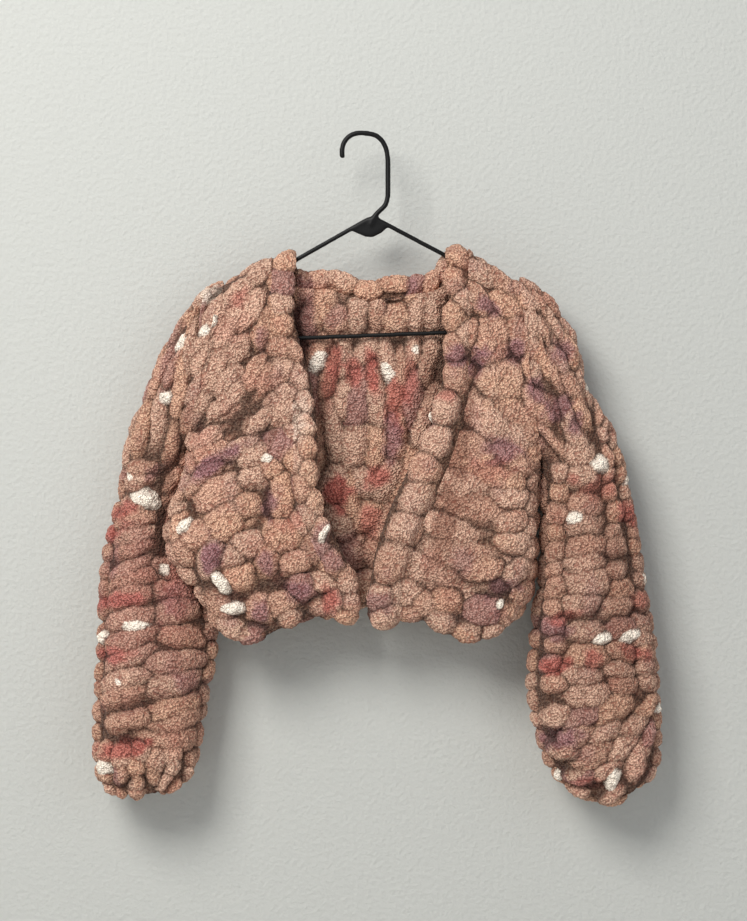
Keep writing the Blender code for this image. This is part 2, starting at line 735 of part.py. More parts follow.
band_around = np.linspace(0, 2 * np.pi, BAND_ROUND + 1)[:-1]
for name, panel, table, toward in (
    ("left_band", "left_front", LEFT_BAND, 1.0),
    ("right_band", "right_front", RIGHT_BAND, -1.0),
):
    outer, inner = (grid[:, -1] for grid in fronts[panel])
    beside = np.array([toward, 0, 0])
    rings, centre, along = band_rings(table, outer, inner, rows, beside, {0: FRONT}, band_around)
    rings = np.concatenate([rings, tapered_end(rings, centre, along, -1, 1)])
    closed_rope(name, rings, yarn, garment)

neck = (across >= LEFT_FRONT_EDGE[0][1] - 0.01) & (across <= RIGHT_FRONT_EDGE[0][1] + 0.01)
outer, inner = (grid[0, neck] for grid in back)
lengths = np.concatenate([[0], np.cumsum(np.linalg.norm(np.diff(outer, axis=0), axis=1))])
neck_rows = lengths / lengths[-1]
upward = np.array([0, 0, 1.0])
neck_ends = {0: BACK, -1: -BACK}
rings = band_rings(NECK_BAND, outer, inner, neck_rows, upward, neck_ends, band_around)[0]
closed_rope("neck_band", rings, yarn, garment)

hanger = rod("hanger", rounded_line(FRAME_LINE, True), FRAME_RADIUS, True, garment)
hook = rod("hook_tool", rounded_line(HOOK_LINE, False), HOOK_RADIUS, False, cutters)
plate = web("web_tool", cutters)
join_solid(hanger, hook)
join_solid(hanger, plate)
hanger.data.materials.append(plastic)
for face in hanger.data.polygons:
    face.use_smooth = True
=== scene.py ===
"""Knitted bolero on a slim black clothes hanger, for its render.

Metres, +Z up, in the frame of the CAD model: the origin is the hook's inner apex, the hanger lies in y = 0
and the garment's front looks along -Y. Tables are in millimetres, with their columns named above them."""

import math

import bmesh
import bpy
import numpy as np
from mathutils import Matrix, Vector


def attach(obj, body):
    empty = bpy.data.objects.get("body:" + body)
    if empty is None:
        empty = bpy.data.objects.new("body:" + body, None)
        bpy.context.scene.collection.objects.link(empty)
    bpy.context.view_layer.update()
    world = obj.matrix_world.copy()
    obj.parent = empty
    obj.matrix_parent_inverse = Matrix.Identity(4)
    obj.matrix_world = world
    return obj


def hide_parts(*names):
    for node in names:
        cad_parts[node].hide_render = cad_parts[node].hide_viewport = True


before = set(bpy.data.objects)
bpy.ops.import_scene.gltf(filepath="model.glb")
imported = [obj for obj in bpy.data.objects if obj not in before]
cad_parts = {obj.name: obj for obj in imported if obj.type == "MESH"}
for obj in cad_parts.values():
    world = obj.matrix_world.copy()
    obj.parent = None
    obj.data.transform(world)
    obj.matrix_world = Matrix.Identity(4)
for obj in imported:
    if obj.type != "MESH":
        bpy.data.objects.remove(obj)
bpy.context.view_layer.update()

# Camera: it stands straight in front of the hanger, at the height of the garment's middle and a room's
# distance away, so that the whole garment and a hand's width round it are in the frame.

VIEW_CENTRE = (0.00935, -0.357)
VIEW_HEIGHT = 1.0131
CAMERA_DISTANCE = 2.5
SENSOR = 36.0


def add_camera():
    data = bpy.data.cameras.new("camera")
    data.sensor_width = SENSOR
    data.lens = SENSOR * CAMERA_DISTANCE / VIEW_HEIGHT
    camera = bpy.data.objects.new("camera", data)
    camera.location = (VIEW_CENTRE[0], -CAMERA_DISTANCE, VIEW_CENTRE[1])
    camera.rotation_euler = (math.pi / 2, 0, 0)
    bpy.context.scene.collection.objects.link(camera)
    bpy.context.scene.camera = camera


add_camera()


# Studio: a pale painted wall close behind the garment, which is clear when seen from behind, a pale
# floor, one soft window light from the upper left, a weak fill and a light for the back.

WALL_BEHIND = 0.056
WALL_SIZE = 6.0
FLOOR_LEVEL = -1.3
WALL_COLOUR = (0.592, 0.6, 0.564)
WORLD_COLOUR = (0.9, 0.93, 1.0)
WORLD_STRENGTH = 0.36
FLOOR_COLOUR = (0.6, 0.59, 0.57)
PLASTER_GRAIN = 190.0
PLASTER_RELIEF = 0.003

# name, place, aim, size, power, colour
LIGHTS = (
    ("window", (-1.15, -2.2, 1.2), (0.0, 0.0, -0.35), 1.3, 74.0, (1.0, 0.985, 0.96)),
    ("fill", (2.2, -2.4, 0.2), (0.0, 0.0, -0.4), 2.0, 10.0, (0.92, 0.96, 1.0)),
    ("behind", (0.8, 2.4, 1.0), (0.0, 0.0, -0.35), 1.6, 45.0, (1.0, 1.0, 1.0)),
)


def plain_material(name, colour, roughness):
    material = bpy.data.materials.new(name)
    material.use_nodes = True
    shader = material.node_tree.nodes["Principled BSDF"]
    shader.inputs["Base Color"].default_value = (*colour, 1.0)
    shader.inputs["Roughness"].default_value = roughness
    return material, material.node_tree, shader


def one_sided(material):
    """Lets everything behind the wall's front be seen through its back."""
    tree = material.node_tree
    nodes = tree.nodes
    clear = nodes.new("ShaderNodeBsdfTransparent")
    mix = nodes.new("ShaderNodeMixShader")
    side = nodes.new("ShaderNodeNewGeometry")
    tree.links.new(side.outputs["Backfacing"], mix.inputs["Fac"])
    tree.links.new(nodes["Principled BSDF"].outputs[0], mix.inputs[1])
    tree.links.new(clear.outputs[0], mix.inputs[2])
    tree.links.new(mix.outputs[0], nodes["Material Output"].inputs["Surface"])


def add_studio():
    plaster, tree, shader = plain_material("painted_wall", WALL_COLOUR, 0.9)
    noise = tree.nodes.new("ShaderNodeTexNoise")
    noise.inputs["Scale"].default_value = PLASTER_GRAIN
    noise.inputs["Detail"].default_value = 4.0
    bump = tree.nodes.new("ShaderNodeBump")
    bump.inputs["Strength"].default_value = 0.5
    bump.inputs["Distance"].default_value = PLASTER_RELIEF
    place = tree.nodes.new("ShaderNodeTexCoord")
    tree.links.new(place.outputs["Object"], noise.inputs["Vector"])
    tree.links.new(noise.outputs["Fac"], bump.inputs["Height"])
    tree.links.new(bump.outputs["Normal"], shader.inputs["Normal"])
    one_sided(plaster)
    floor_paint = plain_material("pale_floor", FLOOR_COLOUR, 0.8)[0]
    for name, turn, place, paint in (
        ("wall", (math.pi / 2, 0, 0), (0, WALL_BEHIND, 0), plaster),
        ("floor", (0, 0, 0), (0, 0, FLOOR_LEVEL), floor_paint),
    ):
        bm = bmesh.new()
        bmesh.ops.create_grid(bm, x_segments=1, y_segments=1, size=WALL_SIZE / 2)
        mesh = bpy.data.meshes.new(name)
        bm.to_mesh(mesh)
        bm.free()
        mesh.materials.append(paint)
        plane = bpy.data.objects.new(name, mesh)
        plane.rotation_euler = turn
        plane.location = place
        bpy.context.scene.collection.objects.link(plane)
    for name, place, aim, size, power, colour in LIGHTS:
        data = bpy.data.lights.new(name, "AREA")
        data.size = size
        data.energy = power
        data.color = colour
        lamp = bpy.data.objects.new(name, data)
        lamp.location = place
        way = [a - p for a, p in zip(aim, place)]
        lamp.rotation_euler = Vector(way).to_track_quat("-Z", "Y").to_euler()
        bpy.context.scene.collection.objects.link(lamp)
    world = bpy.data.worlds.new("studio")
    world.use_nodes = True
    world.node_tree.nodes["Background"].inputs["Color"].default_value = (*WORLD_COLOUR, 1.0)
    world.node_tree.nodes["Background"].inputs["Strength"].default_value = WORLD_STRENGTH
    bpy.context.scene.world = world


bpy.context.scene.view_settings.view_transform = "Standard"
add_studio()


# Hanger: one slim black plastic moulding, round rods with a flat web under the hook's shaft.
# Its dull black surface has a faint grain and a soft gloss along the rods.

MM = 0.001
FRAME_RADIUS = 2.8
HOOK_RADIUS = 3.1
# x and z along the rods' middle lines
HOOK_LINE = (
    (-24.7, -24.7),
    (-25.6, -16.0),
    (-23.5, -7.0),
    (-17.0, 0.5),
    (-8.0, 3.5),
    (2.0, 3.0),
    (12.0, 1.0),
    (19.0, -5.0),
    (23.5, -14.0),
    (25.3, -26.0),
    (25.3, -66.0),
    (23.0, -76.0),
    (11.0, -87.0),
    (6.0, -98.0),
)
FRAME_LINE = (
    (8.0, -89.0),
    (-75.9, -136.4),
    (-104.5, -155.0),
    (-140.0, -177.0),
    (-158.0, -190.0),
    (-168.0, -201.0),
    (-171.0, -211.0),
    (-166.0, -221.0),
    (-157.0, -225.5),
    (79.2, -216.7),
    (170.0, -213.5),
    (181.0, -210.0),
    (184.0, -202.0),
    (180.0, -193.0),
    (168.0, -185.0),
    (130.9, -159.0),
    (115.5, -149.0),
    (92.4, -133.6),
)
WEB_LINE = (
    (-16.0, -104.0),
    (-6.0, -95.0),
    (8.0, -88.0),
    (16.0, -94.0),
    (24.0, -101.5),
    (18.0, -107.0),
    (8.0, -112.0),
    (0.0, -111.0),
)
WEB_THICKNESS = 4.0
HANGER_VOXEL = 0.0014
HANGER_SMOOTHING = 6
CORNER_REACH = 20.0
BLACK = (0.003, 0.003, 0.003)
PLASTIC_GRAIN = 900.0
PLASTIC_RELIEF = 0.0003
WEAR_SIZE = 30.0
DULLEST = 0.55
GLOSSIEST = 0.36


def rounded_line(line, closed, steps=7, share=0.42):
    """Line with its corners rounded by short arcs."""
    points = [np.array(point, float) for point in line]
    count = len(points)
    result = []
    for k, corner in enumerate(points):
        if not closed and k in (0, count - 1):
            result.append(corner)
            continue
        before = points[k - 1]
        after = points[(k + 1) % count]
        reach = min(np.linalg.norm(before - corner), np.linalg.norm(after - corner), CORNER_REACH) * share
        start = corner + (before - corner) / np.linalg.norm(before - corner) * reach
        end = corner + (after - corner) / np.linalg.norm(after - corner) * reach
        for step in range(steps):
            t = step / (steps - 1)
            result.append((1 - t) ** 2 * start + 2 * t * (1 - t) * corner + t * t * end)
    return result


def new_object(name, mesh, material):
    mesh.materials.append(material)
    thing = bpy.data.objects.new(name, mesh)
    bpy.context.scene.collection.objects.link(thing)
    for face in mesh.polygons:
        face.use_smooth = True
    return thing


def rod_mesh(name, line, radius, closed):
    curve = bpy.data.curves.new(name, "CURVE")
    curve.dimensions = "3D"
    curve.bevel_depth = radius * MM
    curve.bevel_resolution = 4
    curve.use_fill_caps = True
    spline = curve.splines.new("POLY")
    spline.points.add(len(line) - 1)
    for point, (x, z) in zip(spline.points, line):
        point.co = (x * MM, 0, z * MM, 1)
    spline.use_cyclic_u = closed
    drawn = bpy.data.objects.new(name, curve)
    bpy.context.scene.collection.objects.link(drawn)
    bpy.context.view_layer.update()
    mesh = bpy.data.meshes.new_from_object(drawn)
    bpy.data.objects.remove(drawn)
    return mesh


def hanger_mesh():
    bm = bmesh.new()
    bm.from_mesh(rod_mesh("frame_rod", rounded_line(FRAME_LINE, True), FRAME_RADIUS, True))
    bm.from_mesh(rod_mesh("hook_rod", rounded_line(HOOK_LINE, False), HOOK_RADIUS, False))
    face = bm.faces.new([bm.verts.new((x * MM, -WEB_THICKNESS / 2 * MM, z * MM)) for x, z in WEB_LINE])
    grown = bmesh.ops.extrude_face_region(bm, geom=[face])["geom"]
    moved = [part for part in grown if isinstance(part, bmesh.types.BMVert)]
    bmesh.ops.translate(bm, verts=moved, vec=(0, WEB_THICKNESS * MM, 0))
    bmesh.ops.recalc_face_normals(bm, faces=bm.faces)
    mesh = bpy.data.meshes.new("clothes_hanger")
    bm.to_mesh(mesh)
    bm.free()
    return mesh


def black_plastic():
    material, tree, shader = plain_material("black_plastic", BLACK, 0.5)
    shader.inputs["Specular IOR Level"].default_value = 0.25
    place = tree.nodes.new("ShaderNodeTexCoord")
    grain = tree.nodes.new("ShaderNodeTexNoise")
    grain.inputs["Scale"].default_value = PLASTIC_GRAIN
    bump = tree.nodes.new("ShaderNodeBump")
    bump.inputs["Strength"].default_value = 0.2
    bump.inputs["Distance"].default_value = PLASTIC_RELIEF
    wear = tree.nodes.new("ShaderNodeTexNoise")
    wear.inputs["Scale"].default_value = WEAR_SIZE
    gloss = tree.nodes.new("ShaderNodeMapRange")
    gloss.inputs["To Min"].default_value = GLOSSIEST
    gloss.inputs["To Max"].default_value = DULLEST
    tree.links.new(place.outputs["Object"], grain.inputs["Vector"])
    tree.links.new(place.outputs["Object"], wear.inputs["Vector"])
    tree.links.new(grain.outputs["Fac"], bump.inputs["Height"])
    tree.links.new(bump.outputs["Normal"], shader.inputs["Normal"])
    tree.links.new(wear.outputs["Fac"], gloss.inputs["Value"])
    tree.links.new(gloss.outputs["Result"], shader.inputs["Roughness"])
    return material


def add_hanger():
    thing = new_object("clothes_hanger", hanger_mesh(), black_plastic())
    remesh = thing.modifiers.new("blend", "REMESH")
    remesh.mode = "VOXEL"
    remesh.voxel_size = HANGER_VOXEL
    remesh.use_smooth_shade = True
    smooth = thing.modifiers.new("smooth", "CORRECTIVE_SMOOTH")
    smooth.iterations = HANGER_SMOOTHING
    smooth.use_only_smooth = True
    made = bpy.data.meshes.new_from_object(thing.evaluated_get(bpy.context.evaluated_depsgraph_get()))
    thing.modifiers.clear()
    thing.data = made
    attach(thing, "root")
    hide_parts("hanger")


add_hanger()


# Fronts: two panels of the same thick knitting, hung from the shoulder seams over the hanger's arms.
# Each turns round its side under the sleeve and ends in a heavy band along its front edge.

WALL = 14.0
SEAM = 0.3
HALF_SEAM = SEAM / 2
ARM_DEPTH = 24.0
ARM_THICKENING = 0.25
SECTION_POWER = 0.77
BACK_TURN = 22.0
FACE_LEAN = 0.4
FOLD_ROW = 0.1
SIDE_SHARE = 0.3
ARM_ROW = 0.5
FOLD_ROWS = 3
ARM_ROWS = 7
SIDE_ROWS = 9
SIDE_TURN_COLUMNS = 5
FLAT_COLUMNS = 10
HEM_SAG_START = 0.55
# armhole: x and z of its top, x and z of its underarm
LEFT_ARMHOLE = (-157.3, -161.7, -194.7, -350.9)
RIGHT_ARMHOLE = (170.5, -158.4, 190.3, -367.4)
# side line under the armhole: station, outermost x, z, turn behind that line (degrees), turn radius
LEFT_SIDE = (
    (0.0, -194.7, -350.9, 0.0, 24.0),
    (0.12, -198.0, -372.0, 8.0, 28.0),
    (0.35, -213.5, -412.0, 45.0, 45.0),
    (0.55, -217.0, -447.0, 50.0, 45.0),
    (0.75, -199.0, -482.0, 50.0, 40.0),
    (0.88, -178.0, -509.0, 45.0, 34.0),
    (1.0, -164.0, -539.0, 35.0, 28.0),
)
RIGHT_SIDE = (
    (0.0, 190.3, -367.4, 0.0, 24.0),
    (0.25, 188.5, -405.0, 0.0, 30.0),
    (0.5, 188.0, -440.0, 0.0, 34.0),
    (0.75, 186.5, -478.0, 0.0, 34.0),
    (0.9, 181.0, -505.0, 0.0, 32.0),
    (1.0, 172.0, -521.0, 0.0, 30.0),
)
# front edge under its band: row, x, z
LEFT_FRONT_EDGE = (
    (0.0, -104.5, -132.6),
    (0.05, -104.5, -137.9),
    (0.1, -104.5, -150.6),
    (0.2, -103.0, -195.8),
    (0.3, -95.0, -236.5),
    (0.4, -84.0, -277.2),
    (0.5, -79.5, -317.9),
    (0.6, -79.5, -358.6),
    (0.7, -77.5, -399.3),
    (0.8, -61.5, -441.1),
    (0.9, -43.5, -481.8),
    (1.0, -35.0, -522.5),
)
RIGHT_FRONT_EDGE = (
    (0.0, 115.5, -126.5),
    (0.05, 115.5, -131.8),
    (0.1, 115.5, -144.5),
    (0.2, 115.5, -193.6),
    (0.3, 115.0, -235.4),
    (0.4, 113.5, -276.1),
    (0.5, 107.5, -317.9),
    (0.6, 94.5, -359.7),
    (0.7, 76.5, -401.5),
    (0.8, 58.5, -442.2),
    (0.9, 45.5, -484.0),
    (1.0, 39.0, -525.8),
)
# depth of the fronts in front of the hanger: row, depth
FRONT_DEPTH = (
    (0.0, 18.5),
    (0.1, 18.5),
    (0.25, 21.0),
    (0.45, 27.0),
    (0.65, 38.0),
    (0.82, 46.0),
    (1.0, 42.0),
)
# sag of the hem between the side (0) and the front edge (1): share, drop
LEFT_HEM = ((0.0, 0.0), (0.12, 14.0), (0.25, 20.0), (0.4, 18.0), (0.6, 10.0), (0.8, 4.0), (1.0, 0.0))
RIGHT_HEM = ((0.0, 0.0), (0.12, 13.0), (0.27, 25.0), (0.42, 31.0), (0.6, 26.0), (0.78, 12.0), (1.0, 0.0))
# soft folds over the fronts: start share and row, end share and row, height, width
LEFT_FOLDS = (
    (0.85, 0.3, 0.2, 0.85, 5.0, 0.14),
    (0.95, 0.62, 0.5, 0.98, 4.0, 0.12),
    (0.35, 0.25, 0.05, 0.6, 3.5, 0.12),
)
RIGHT_FOLDS = (
    (0.8, 0.2, 0.35, 0.75, 4.0, 0.13),
    (0.25, 0.55, 0.05, 0.72, 4.5, 0.1),
    (0.75, 0.75, 0.3, 0.95, 4.0, 0.13),
)

# fans of strands: two guide lines of x, z, strands between them, pitch, lay, tilt, height
LEFT_FRONT_KNIT = (
    (((-111, -132), (-140, -161), (-166, -194), (-186, -235)),
     ((-91, -274), (-121, -290), (-154, -310), (-193, -334)), 5, 36, "along", 4, 0.52),
    (((-89, -285), (-121, -312), (-157, -334), (-197, -359)),
     ((-52, -367), (-94, -378), (-143, -400), (-212, -422)), 3, 32, "along", 0, 0.6),
    (((-52, -373), (-94, -389), (-143, -409), (-215, -433)),
     ((-22, -524), (-72, -538), (-127, -554), (-168, -541)), 5, 31, "along", 8, 0.7),
)
RIGHT_FRONT_KNIT = (
    (((120, -134), (146, -145), (170, -163), (198, -186)),
     ((113, -224), (140, -255), (168, -285), (204, -323)), 5, 36, "along", 0, 0.5),
    (((116, -238), (143, -268), (170, -293), (204, -329)),
     ((91, -362), (124, -363), (157, -363), (198, -359)), 3, 44, "along", 0, 0.38),
    (((87, -370), (124, -367), (157, -363), (198, -359)),
     ((52, -480), (94, -494), (148, -493), (193, -483)), 5, 50, "along", -4, 0.34),
    (((47, -488), (94, -502), (148, -499), (190, -488)),
     ((38, -524), (91, -559), (148, -548), (182, -524)), 2, 32, "along", 0, 1.0),
)
LEFT_SLEEVE_KNIT = (
    (((-168, -150), (-212, -211), (-248, -285), (-263, -340)),
     ((-170, -180), (-186, -235), (-197, -296), (-210, -359)), 3, 52, "along", 0, 0.85),
    (((-272, -348), (-287, -444), (-294, -554), (-296, -656)),
     ((-228, -363), (-230, -444), (-228, -554), (-234, -660)), 1, 22, "across", 14, 1.0),
    (((-228, -363), (-230, -444), (-228, -554), (-234, -660)),
     ((-186, -378), (-173, -466), (-167, -554), (-175, -664)), 1, 23, "across", 10, 0.95),
    (((-294, -667), (-294, -695), (-285, -722)),
     ((-175, -669), (-182, -697), (-199, -719)), 6, 19, "along", 0, 0.9),
)
RIGHT_SLEEVE_KNIT = (
    (((182, -165), (210, -194), (237, -238), (250, -282)),
     ((186, -213), (199, -260), (215, -312), (232, -348)), 3, 34, "along", 0, 0.85),
    (((248, -295), (258, -345), (263, -444), (263, -510), (265, -614)),
     ((263, -312), (272, -345), (287, -444), (292, -510), (296, -614)), 1, 20, "across", -6, 0.85),
    (((261, -307), (272, -345), (287, -444), (292, -510), (296, -614)),
     ((272, -307), (289, -345), (311, -444), (320, -510), (327, -614)), 1, 20, "across", -6, 0.85),
    (((199, -363), (193, -444), (188, -521), (184, -614)),
     ((221, -363), (219, -444), (217, -521), (215, -614)), 1, 21, "across", 8, 1.0),
    (((221, -345), (219, -444), (217, -521), (215, -614)),
     ((250, -345), (258, -444), (258, -510), (261, -614)), 1, 25, "across", 4, 1.0),
    (((195, -620), (215, -627), (258, -620), (311, -614)),
     ((206, -700), (237, -711), (280, -704), (314, -682)), 4, 34, "along", 24, 0.95),
    (((217, -711), (253, -719), (294, -704)),
     ((228, -726), (256, -735), (287, -719)), 1, 24, "along", 30, 0.9),
)
# single lumps of bands, neck and fronts: x, z, half length, half width, angle, height
LEFT_BAND_LUMPS = (
    (-87, -139, 15, 14, 0, 0.6),
    (-89, -163, 15, 13, 0, 0.6),
    (-90, -186, 14, 12, 10, 0.65),
    (-92, -209, 14, 13, 0, 0.7),
    (-94, -233, 14, 12, -10, 0.7),
    (-77, -238, 13, 9, -60, 0.7),
    (-90, -257, 14, 12, 0, 0.7),
    (-72, -266, 14, 11, -60, 0.9),
    (-86, -284, 13, 11, 0, 0.8),
    (-65, -293, 14, 10, -65, 0.9),
    (-80, -304, 12, 9, 20, 1.0),
    (-63, -317, 13, 10, -70, 0.9),
    (-79, -328, 12, 12, 0, 1.0),
    (-63, -341, 13, 11, -60, 0.9),
    (-76, -354, 14, 11, -60, 0.9),
    (-59, -370, 15, 11, -70, 1.0),
    (-69, -386, 15, 11, -70, 1.0),
    (-53, -400, 15, 12, -60, 1.0),
    (-63, -417, 14, 11, -50, 1.0),
    (-47, -429, 14, 11, 60, 1.0),
    (-52, -451, 16, 12, -30, 1.0),
    (-36, -469, 16, 12, -60, 1.0),
    (-44, -488, 14, 12, 0, 1.0),
    (-16, -488, 17, 13, -60, 1.1),
    (-34, -510, 15, 12, 60, 1.1),
    (-14, -510, 15, 13, 60, 1.1),
    (-21, -529, 17, 13, 5, 1.0),
)
RIGHT_BAND_LUMPS = (
    (103, -132, 15, 17, 0, 1.35),
    (95, -161, 15, 16, 10, 1.2),
    (111, -183, 14, 18, -50, 1.35),
    (95, -200, 15, 17, -30, 1.35),
    (111, -220, 14, 16, -40, 1.35),
    (96, -235, 15, 16, -20, 1.2),
    (100, -266, 20, 18, 10, 1.35),
    (85, -299, 19, 20, 20, 1.35),
    (76, -334, 20, 20, 30, 1.35),
    (63, -365, 19, 20, 30, 1.0),
    (56, -398, 24, 19, 50, 1.35),
    (43, -431, 26, 20, 45, 1.35),
    (32, -466, 26, 22, 35, 1.2),
    (41, -499, 20, 16, 20, 1.0),
    (16, -504, 18, 15, 20, 1.0),
    (34, -524, 16, 12, 0, 1.0),
    (21, -532, 18, 14, -10, 1.0),
)
NECK_LUMPS = (
    (-70, -163, 22, 9, 80, 0.7),
    (-50, -155, 16, 13, 0, 0.6),
    (-24, -155, 19, 18, 0, 0.75),
    (3, -166, 13, 14, 0, 0.55),
    (32, -157, 20, 17, 0, 0.75),
    (56, -163, 20, 9, 75, 0.7),
    (74, -160, 20, 9, 82, 0.6),
    (89, -145, 12, 15, 0, 0.55),
)
LEFT_FRONT_LUMPS = (
    (-177, -374, 30, 10, 40, 0.95),
    (-204, -397, 18, 10, 62, 0.95),
    (-158, -391, 27, 17, 32, 0.95),
    (-129, -406, 15, 13, 0, 0.95),
    (-206, -431, 18, 11, 85, 0.9),
    (-199, -458, 16, 12, -60, 0.9),
    (-168, -462, 27, 12, 76, 0.95),
    (-143, -459, 13, 12, 0, 1.0),
    (-135, -482, 14, 13, 0, 0.9),
    (-90, -513, 16, 13, 10, 0.95),
    (-80, -528, 15, 10, 15, 0.9),
    (-150, -539, 22, 13, -12, 0.95),
    (-123, -548, 16, 12, 5, 0.9),
    (-113, -517, 13, 14, 0, 0.9),
    (-105, -462, 13, 16, 0, 0.8),
    (-90, -394, 12, 24, 0, 0.8),
    (-72, -466, 16, 12, 20, 0.8),
    (-66, -494, 14, 13, 0, 0.85),
    (-102, -367, 13, 11, 0, 0.75),
    (-140, -343, 24, 10, 24, 0.7),
    (-173, -334, 20, 10, 36, 0.7),
    (-113, -312, 20, 9, 45, 0.6),
    (-26, -521, 16, 14, 20, 0.95),
    (-47, -517, 13, 12, 0, 0.9),
    (-34, -528, 14, 10, 20, 0.9),
    (-120, -260, 20, 9, 60, 0.5),
    (-151, -290, 26, 9, 42, 0.5),
)
RIGHT_FRONT_LUMPS = (
    (138, -226, 28, 18, 80, 0.75),
    (150, -272, 25, 23, 0, 0.75),
    (168, -219, 22, 13, -60, 0.8),
    (184, -255, 20, 12, -65, 0.85),
    (124, -180, 22, 12, -50, 0.7),
    (154, -187, 20, 12, -40, 0.75),
    (175, -364, 24, 12, 8, 0.95),
    (164, -397, 31, 12, -5, 0.95),
    (161, -422, 28, 12, 5, 0.85),
    (165, -446, 29, 12, -3, 0.95),
    (127, -473, 26, 14, 5, 0.8),
    (170, -477, 22, 13, 12, 0.9),
    (87, -508, 18, 15, 0, 0.95),
    (128, -520, 19, 15, 0, 0.95),
    (110, -543, 17, 13, 0, 0.95),
    (157, -524, 17, 13, 20, 0.9),
    (170, -504, 15, 12, 40, 0.9),
    (82, -532, 16, 13, -20, 0.9),
    (65, -513, 14, 14, 0, 0.9),
    (140, -543, 15, 11, 15, 0.9),
    (35, -529, 16, 13, -10, 0.95),
    (50, -524, 14, 12, 20, 0.9),
    (30, -537, 14, 11, 0, 0.9),
)
# cream flecks: x, z, half length, half width, angle
LEFT_FRONT_FLECKS = (
    (-165, -206, 12, 7, 50),
    (-198, -430, 13, 10, 20),
    (-157, -488, 14, 9, -60),
    (-145, -516, 16, 8, -4),
    (-105, -356, 10, 7, -20),
)
RIGHT_FRONT_FLECKS = (
    (145, -513, 6, 5, 0),
)
# dyed spots, and spots of painted shade (painted_shade) in the valleys beside the bands and at the sides:
# x, z, half sizes, angle, colour, strength
LEFT_FRONT_SPOTS = (
    (-169, -365, 36, 12, 38, "mauve", 0.95),
    (-190, -260, 11, 30, -12, "mauve", 0.6),
    (-113, -224, 9, 16, 0, "mauve", 0.7),
    (-138, -183, 16, 9, 35, "red", 0.6),
    (-102, -400, 11, 24, -20, "mauve", 0.9),
    (-164, -458, 12, 24, -20, "mauve", 0.95),
    (-72, -499, 14, 12, 0, "mauve", 0.8),
    (-38, -505, 10, 18, 10, "red", 0.85),
    (-107, -466, 10, 14, 0, "mauve", 0.7),
    (-72, -422, 22, 10, 30, "red", 0.35),
    (-113, -521, 10, 12, 0, "mauve", 0.8),
    (-90, -376, 14, 26, 0, "peach", 0.7),
    (-146, -213, 26, 20, 0, "red", 0.22),
    (-217, -422, 8, 40, 0, "painted_shade", 0.4),
    (-113, -235, 7, 26, -12, "painted_shade", 0.5),
    (-107, -235, 5, 70, 3, "painted_shade", 0.45),
    (-102, -334, 5, 30, -20, "painted_shade", 0.45),
)
RIGHT_FRONT_SPOTS = (
    (121, -252, 12, 22, -15, "mauve", 0.95),
    (134, -189, 16, 10, -35, "mauve", 0.8),
    (166, -238, 12, 18, 0, "mauve", 0.85),
    (184, -273, 12, 16, 0, "mauve", 0.9),
    (148, -348, 22, 14, 0, "mauve", 0.8),
    (136, -367, 26, 14, 0, "red", 0.4),
    (148, -274, 30, 24, 0, "peach", 0.6),
    (165, -169, 10, 10, 0, "mauve", 0.3),
    (145, -493, 18, 12, 0, "mauve", 0.85),
    (107, -466, 16, 16, 0, "mauve", 0.5),
    (138, -450, 26, 20, 0, "peach", 0.5),
    (73, -466, 12, 14, 0, "red", 0.3),
    (111, -290, 9, 40, -12, "painted_shade", 0.6),
    (100, -345, 14, 46, -14, "painted_shade", 0.8),
    (89, -422, 14, 50, -16, "painted_shade", 0.8),
    (116, -422, 26, 60, -10, "painted_shade", 0.3),
    (82, -480, 20, 20, 0, "painted_shade", 0.4),
    (186, -367, 10, 60, 0, "painted_shade", 0.3),
)

# the ways that the front and the back of the garment look
FRONT = np.array([0, -1.0, 0])
BACK = np.array([0, 1.0, 0])


def smooth_read(table, at):
    """Smooth curve through a table whose first column is the station."""
    table = np.asarray(table, float)
    stations = table[:, 0]
    values = table[:, 1:]
    at = np.asarray(at, float)
    slopes = np.gradient(values, stations, axis=0)
    index = np.clip(np.searchsorted(stations, at, side="right") - 1, 0, len(stations) - 2)
    width = (stations[index + 1] - stations[index])[..., None]
    share = (at - stations[index])[..., None] / width
    low = values[index]
    high = values[index + 1]
    rise = share * share * (3 - 2 * share)
    lean = (1 - share) * slopes[index] - share * slopes[index + 1]
    return low + (high - low) * rise + width * share * (1 - share) * lean


def unit(vectors):
    return vectors / np.maximum(np.linalg.norm(vectors, axis=-1, keepdims=True), 1e-9)


def panel_rows():
    """Rows from the shoulder seam over the hanger's arm, down to the underarm and on to the hem."""
    fold = np.linspace(0, FOLD_ROW, FOLD_ROWS + 1)
    arm = np.linspace(FOLD_ROW, ARM_ROW, ARM_ROWS + 1)[1:]
    side = np.linspace(ARM_ROW, 1, SIDE_ROWS + 1)[1:]
    return np.concatenate([fold, arm, side])


def flattened(angle):
    """Section of a flattened tube: shares of its half width and half depth."""
    wide = np.sign(np.cos(angle)) * np.abs(np.cos(angle)) ** SECTION_POWER
    deep = np.sign(np.sin(angle)) * np.abs(np.sin(angle)) ** SECTION_POWER
    return wide, deep


def side_edge(armhole, side, rows):
    """Seam edge of a panel: outermost x, z, share of the armhole's depth, turn behind and its radius."""
    top_x, top_z, under_x, under_z = armhole
    wide, deep = flattened(np.pi * np.minimum(rows / ARM_ROW, 1))
    drop = (1 - wide) / 2
    x = top_x + (under_x - top_x) * drop
    z = top_z + (under_z - top_z) * drop
    below = np.maximum(rows - ARM_ROW, 0) / (1 - ARM_ROW)
    read = smooth_read(side, below)
    under = rows >= ARM_ROW - 1e-9
    x = np.where(under, read[:, 0], x)
    z = np.where(under, read[:, 1], z)
    deep = np.where(under, 0, deep)
    turn = np.where(under, np.radians(read[:, 2]), 0)
    radius = np.where(under, read[:, 3], side[0][4])
    return [value[:, None] for value in (x, z, deep, turn, radius)]


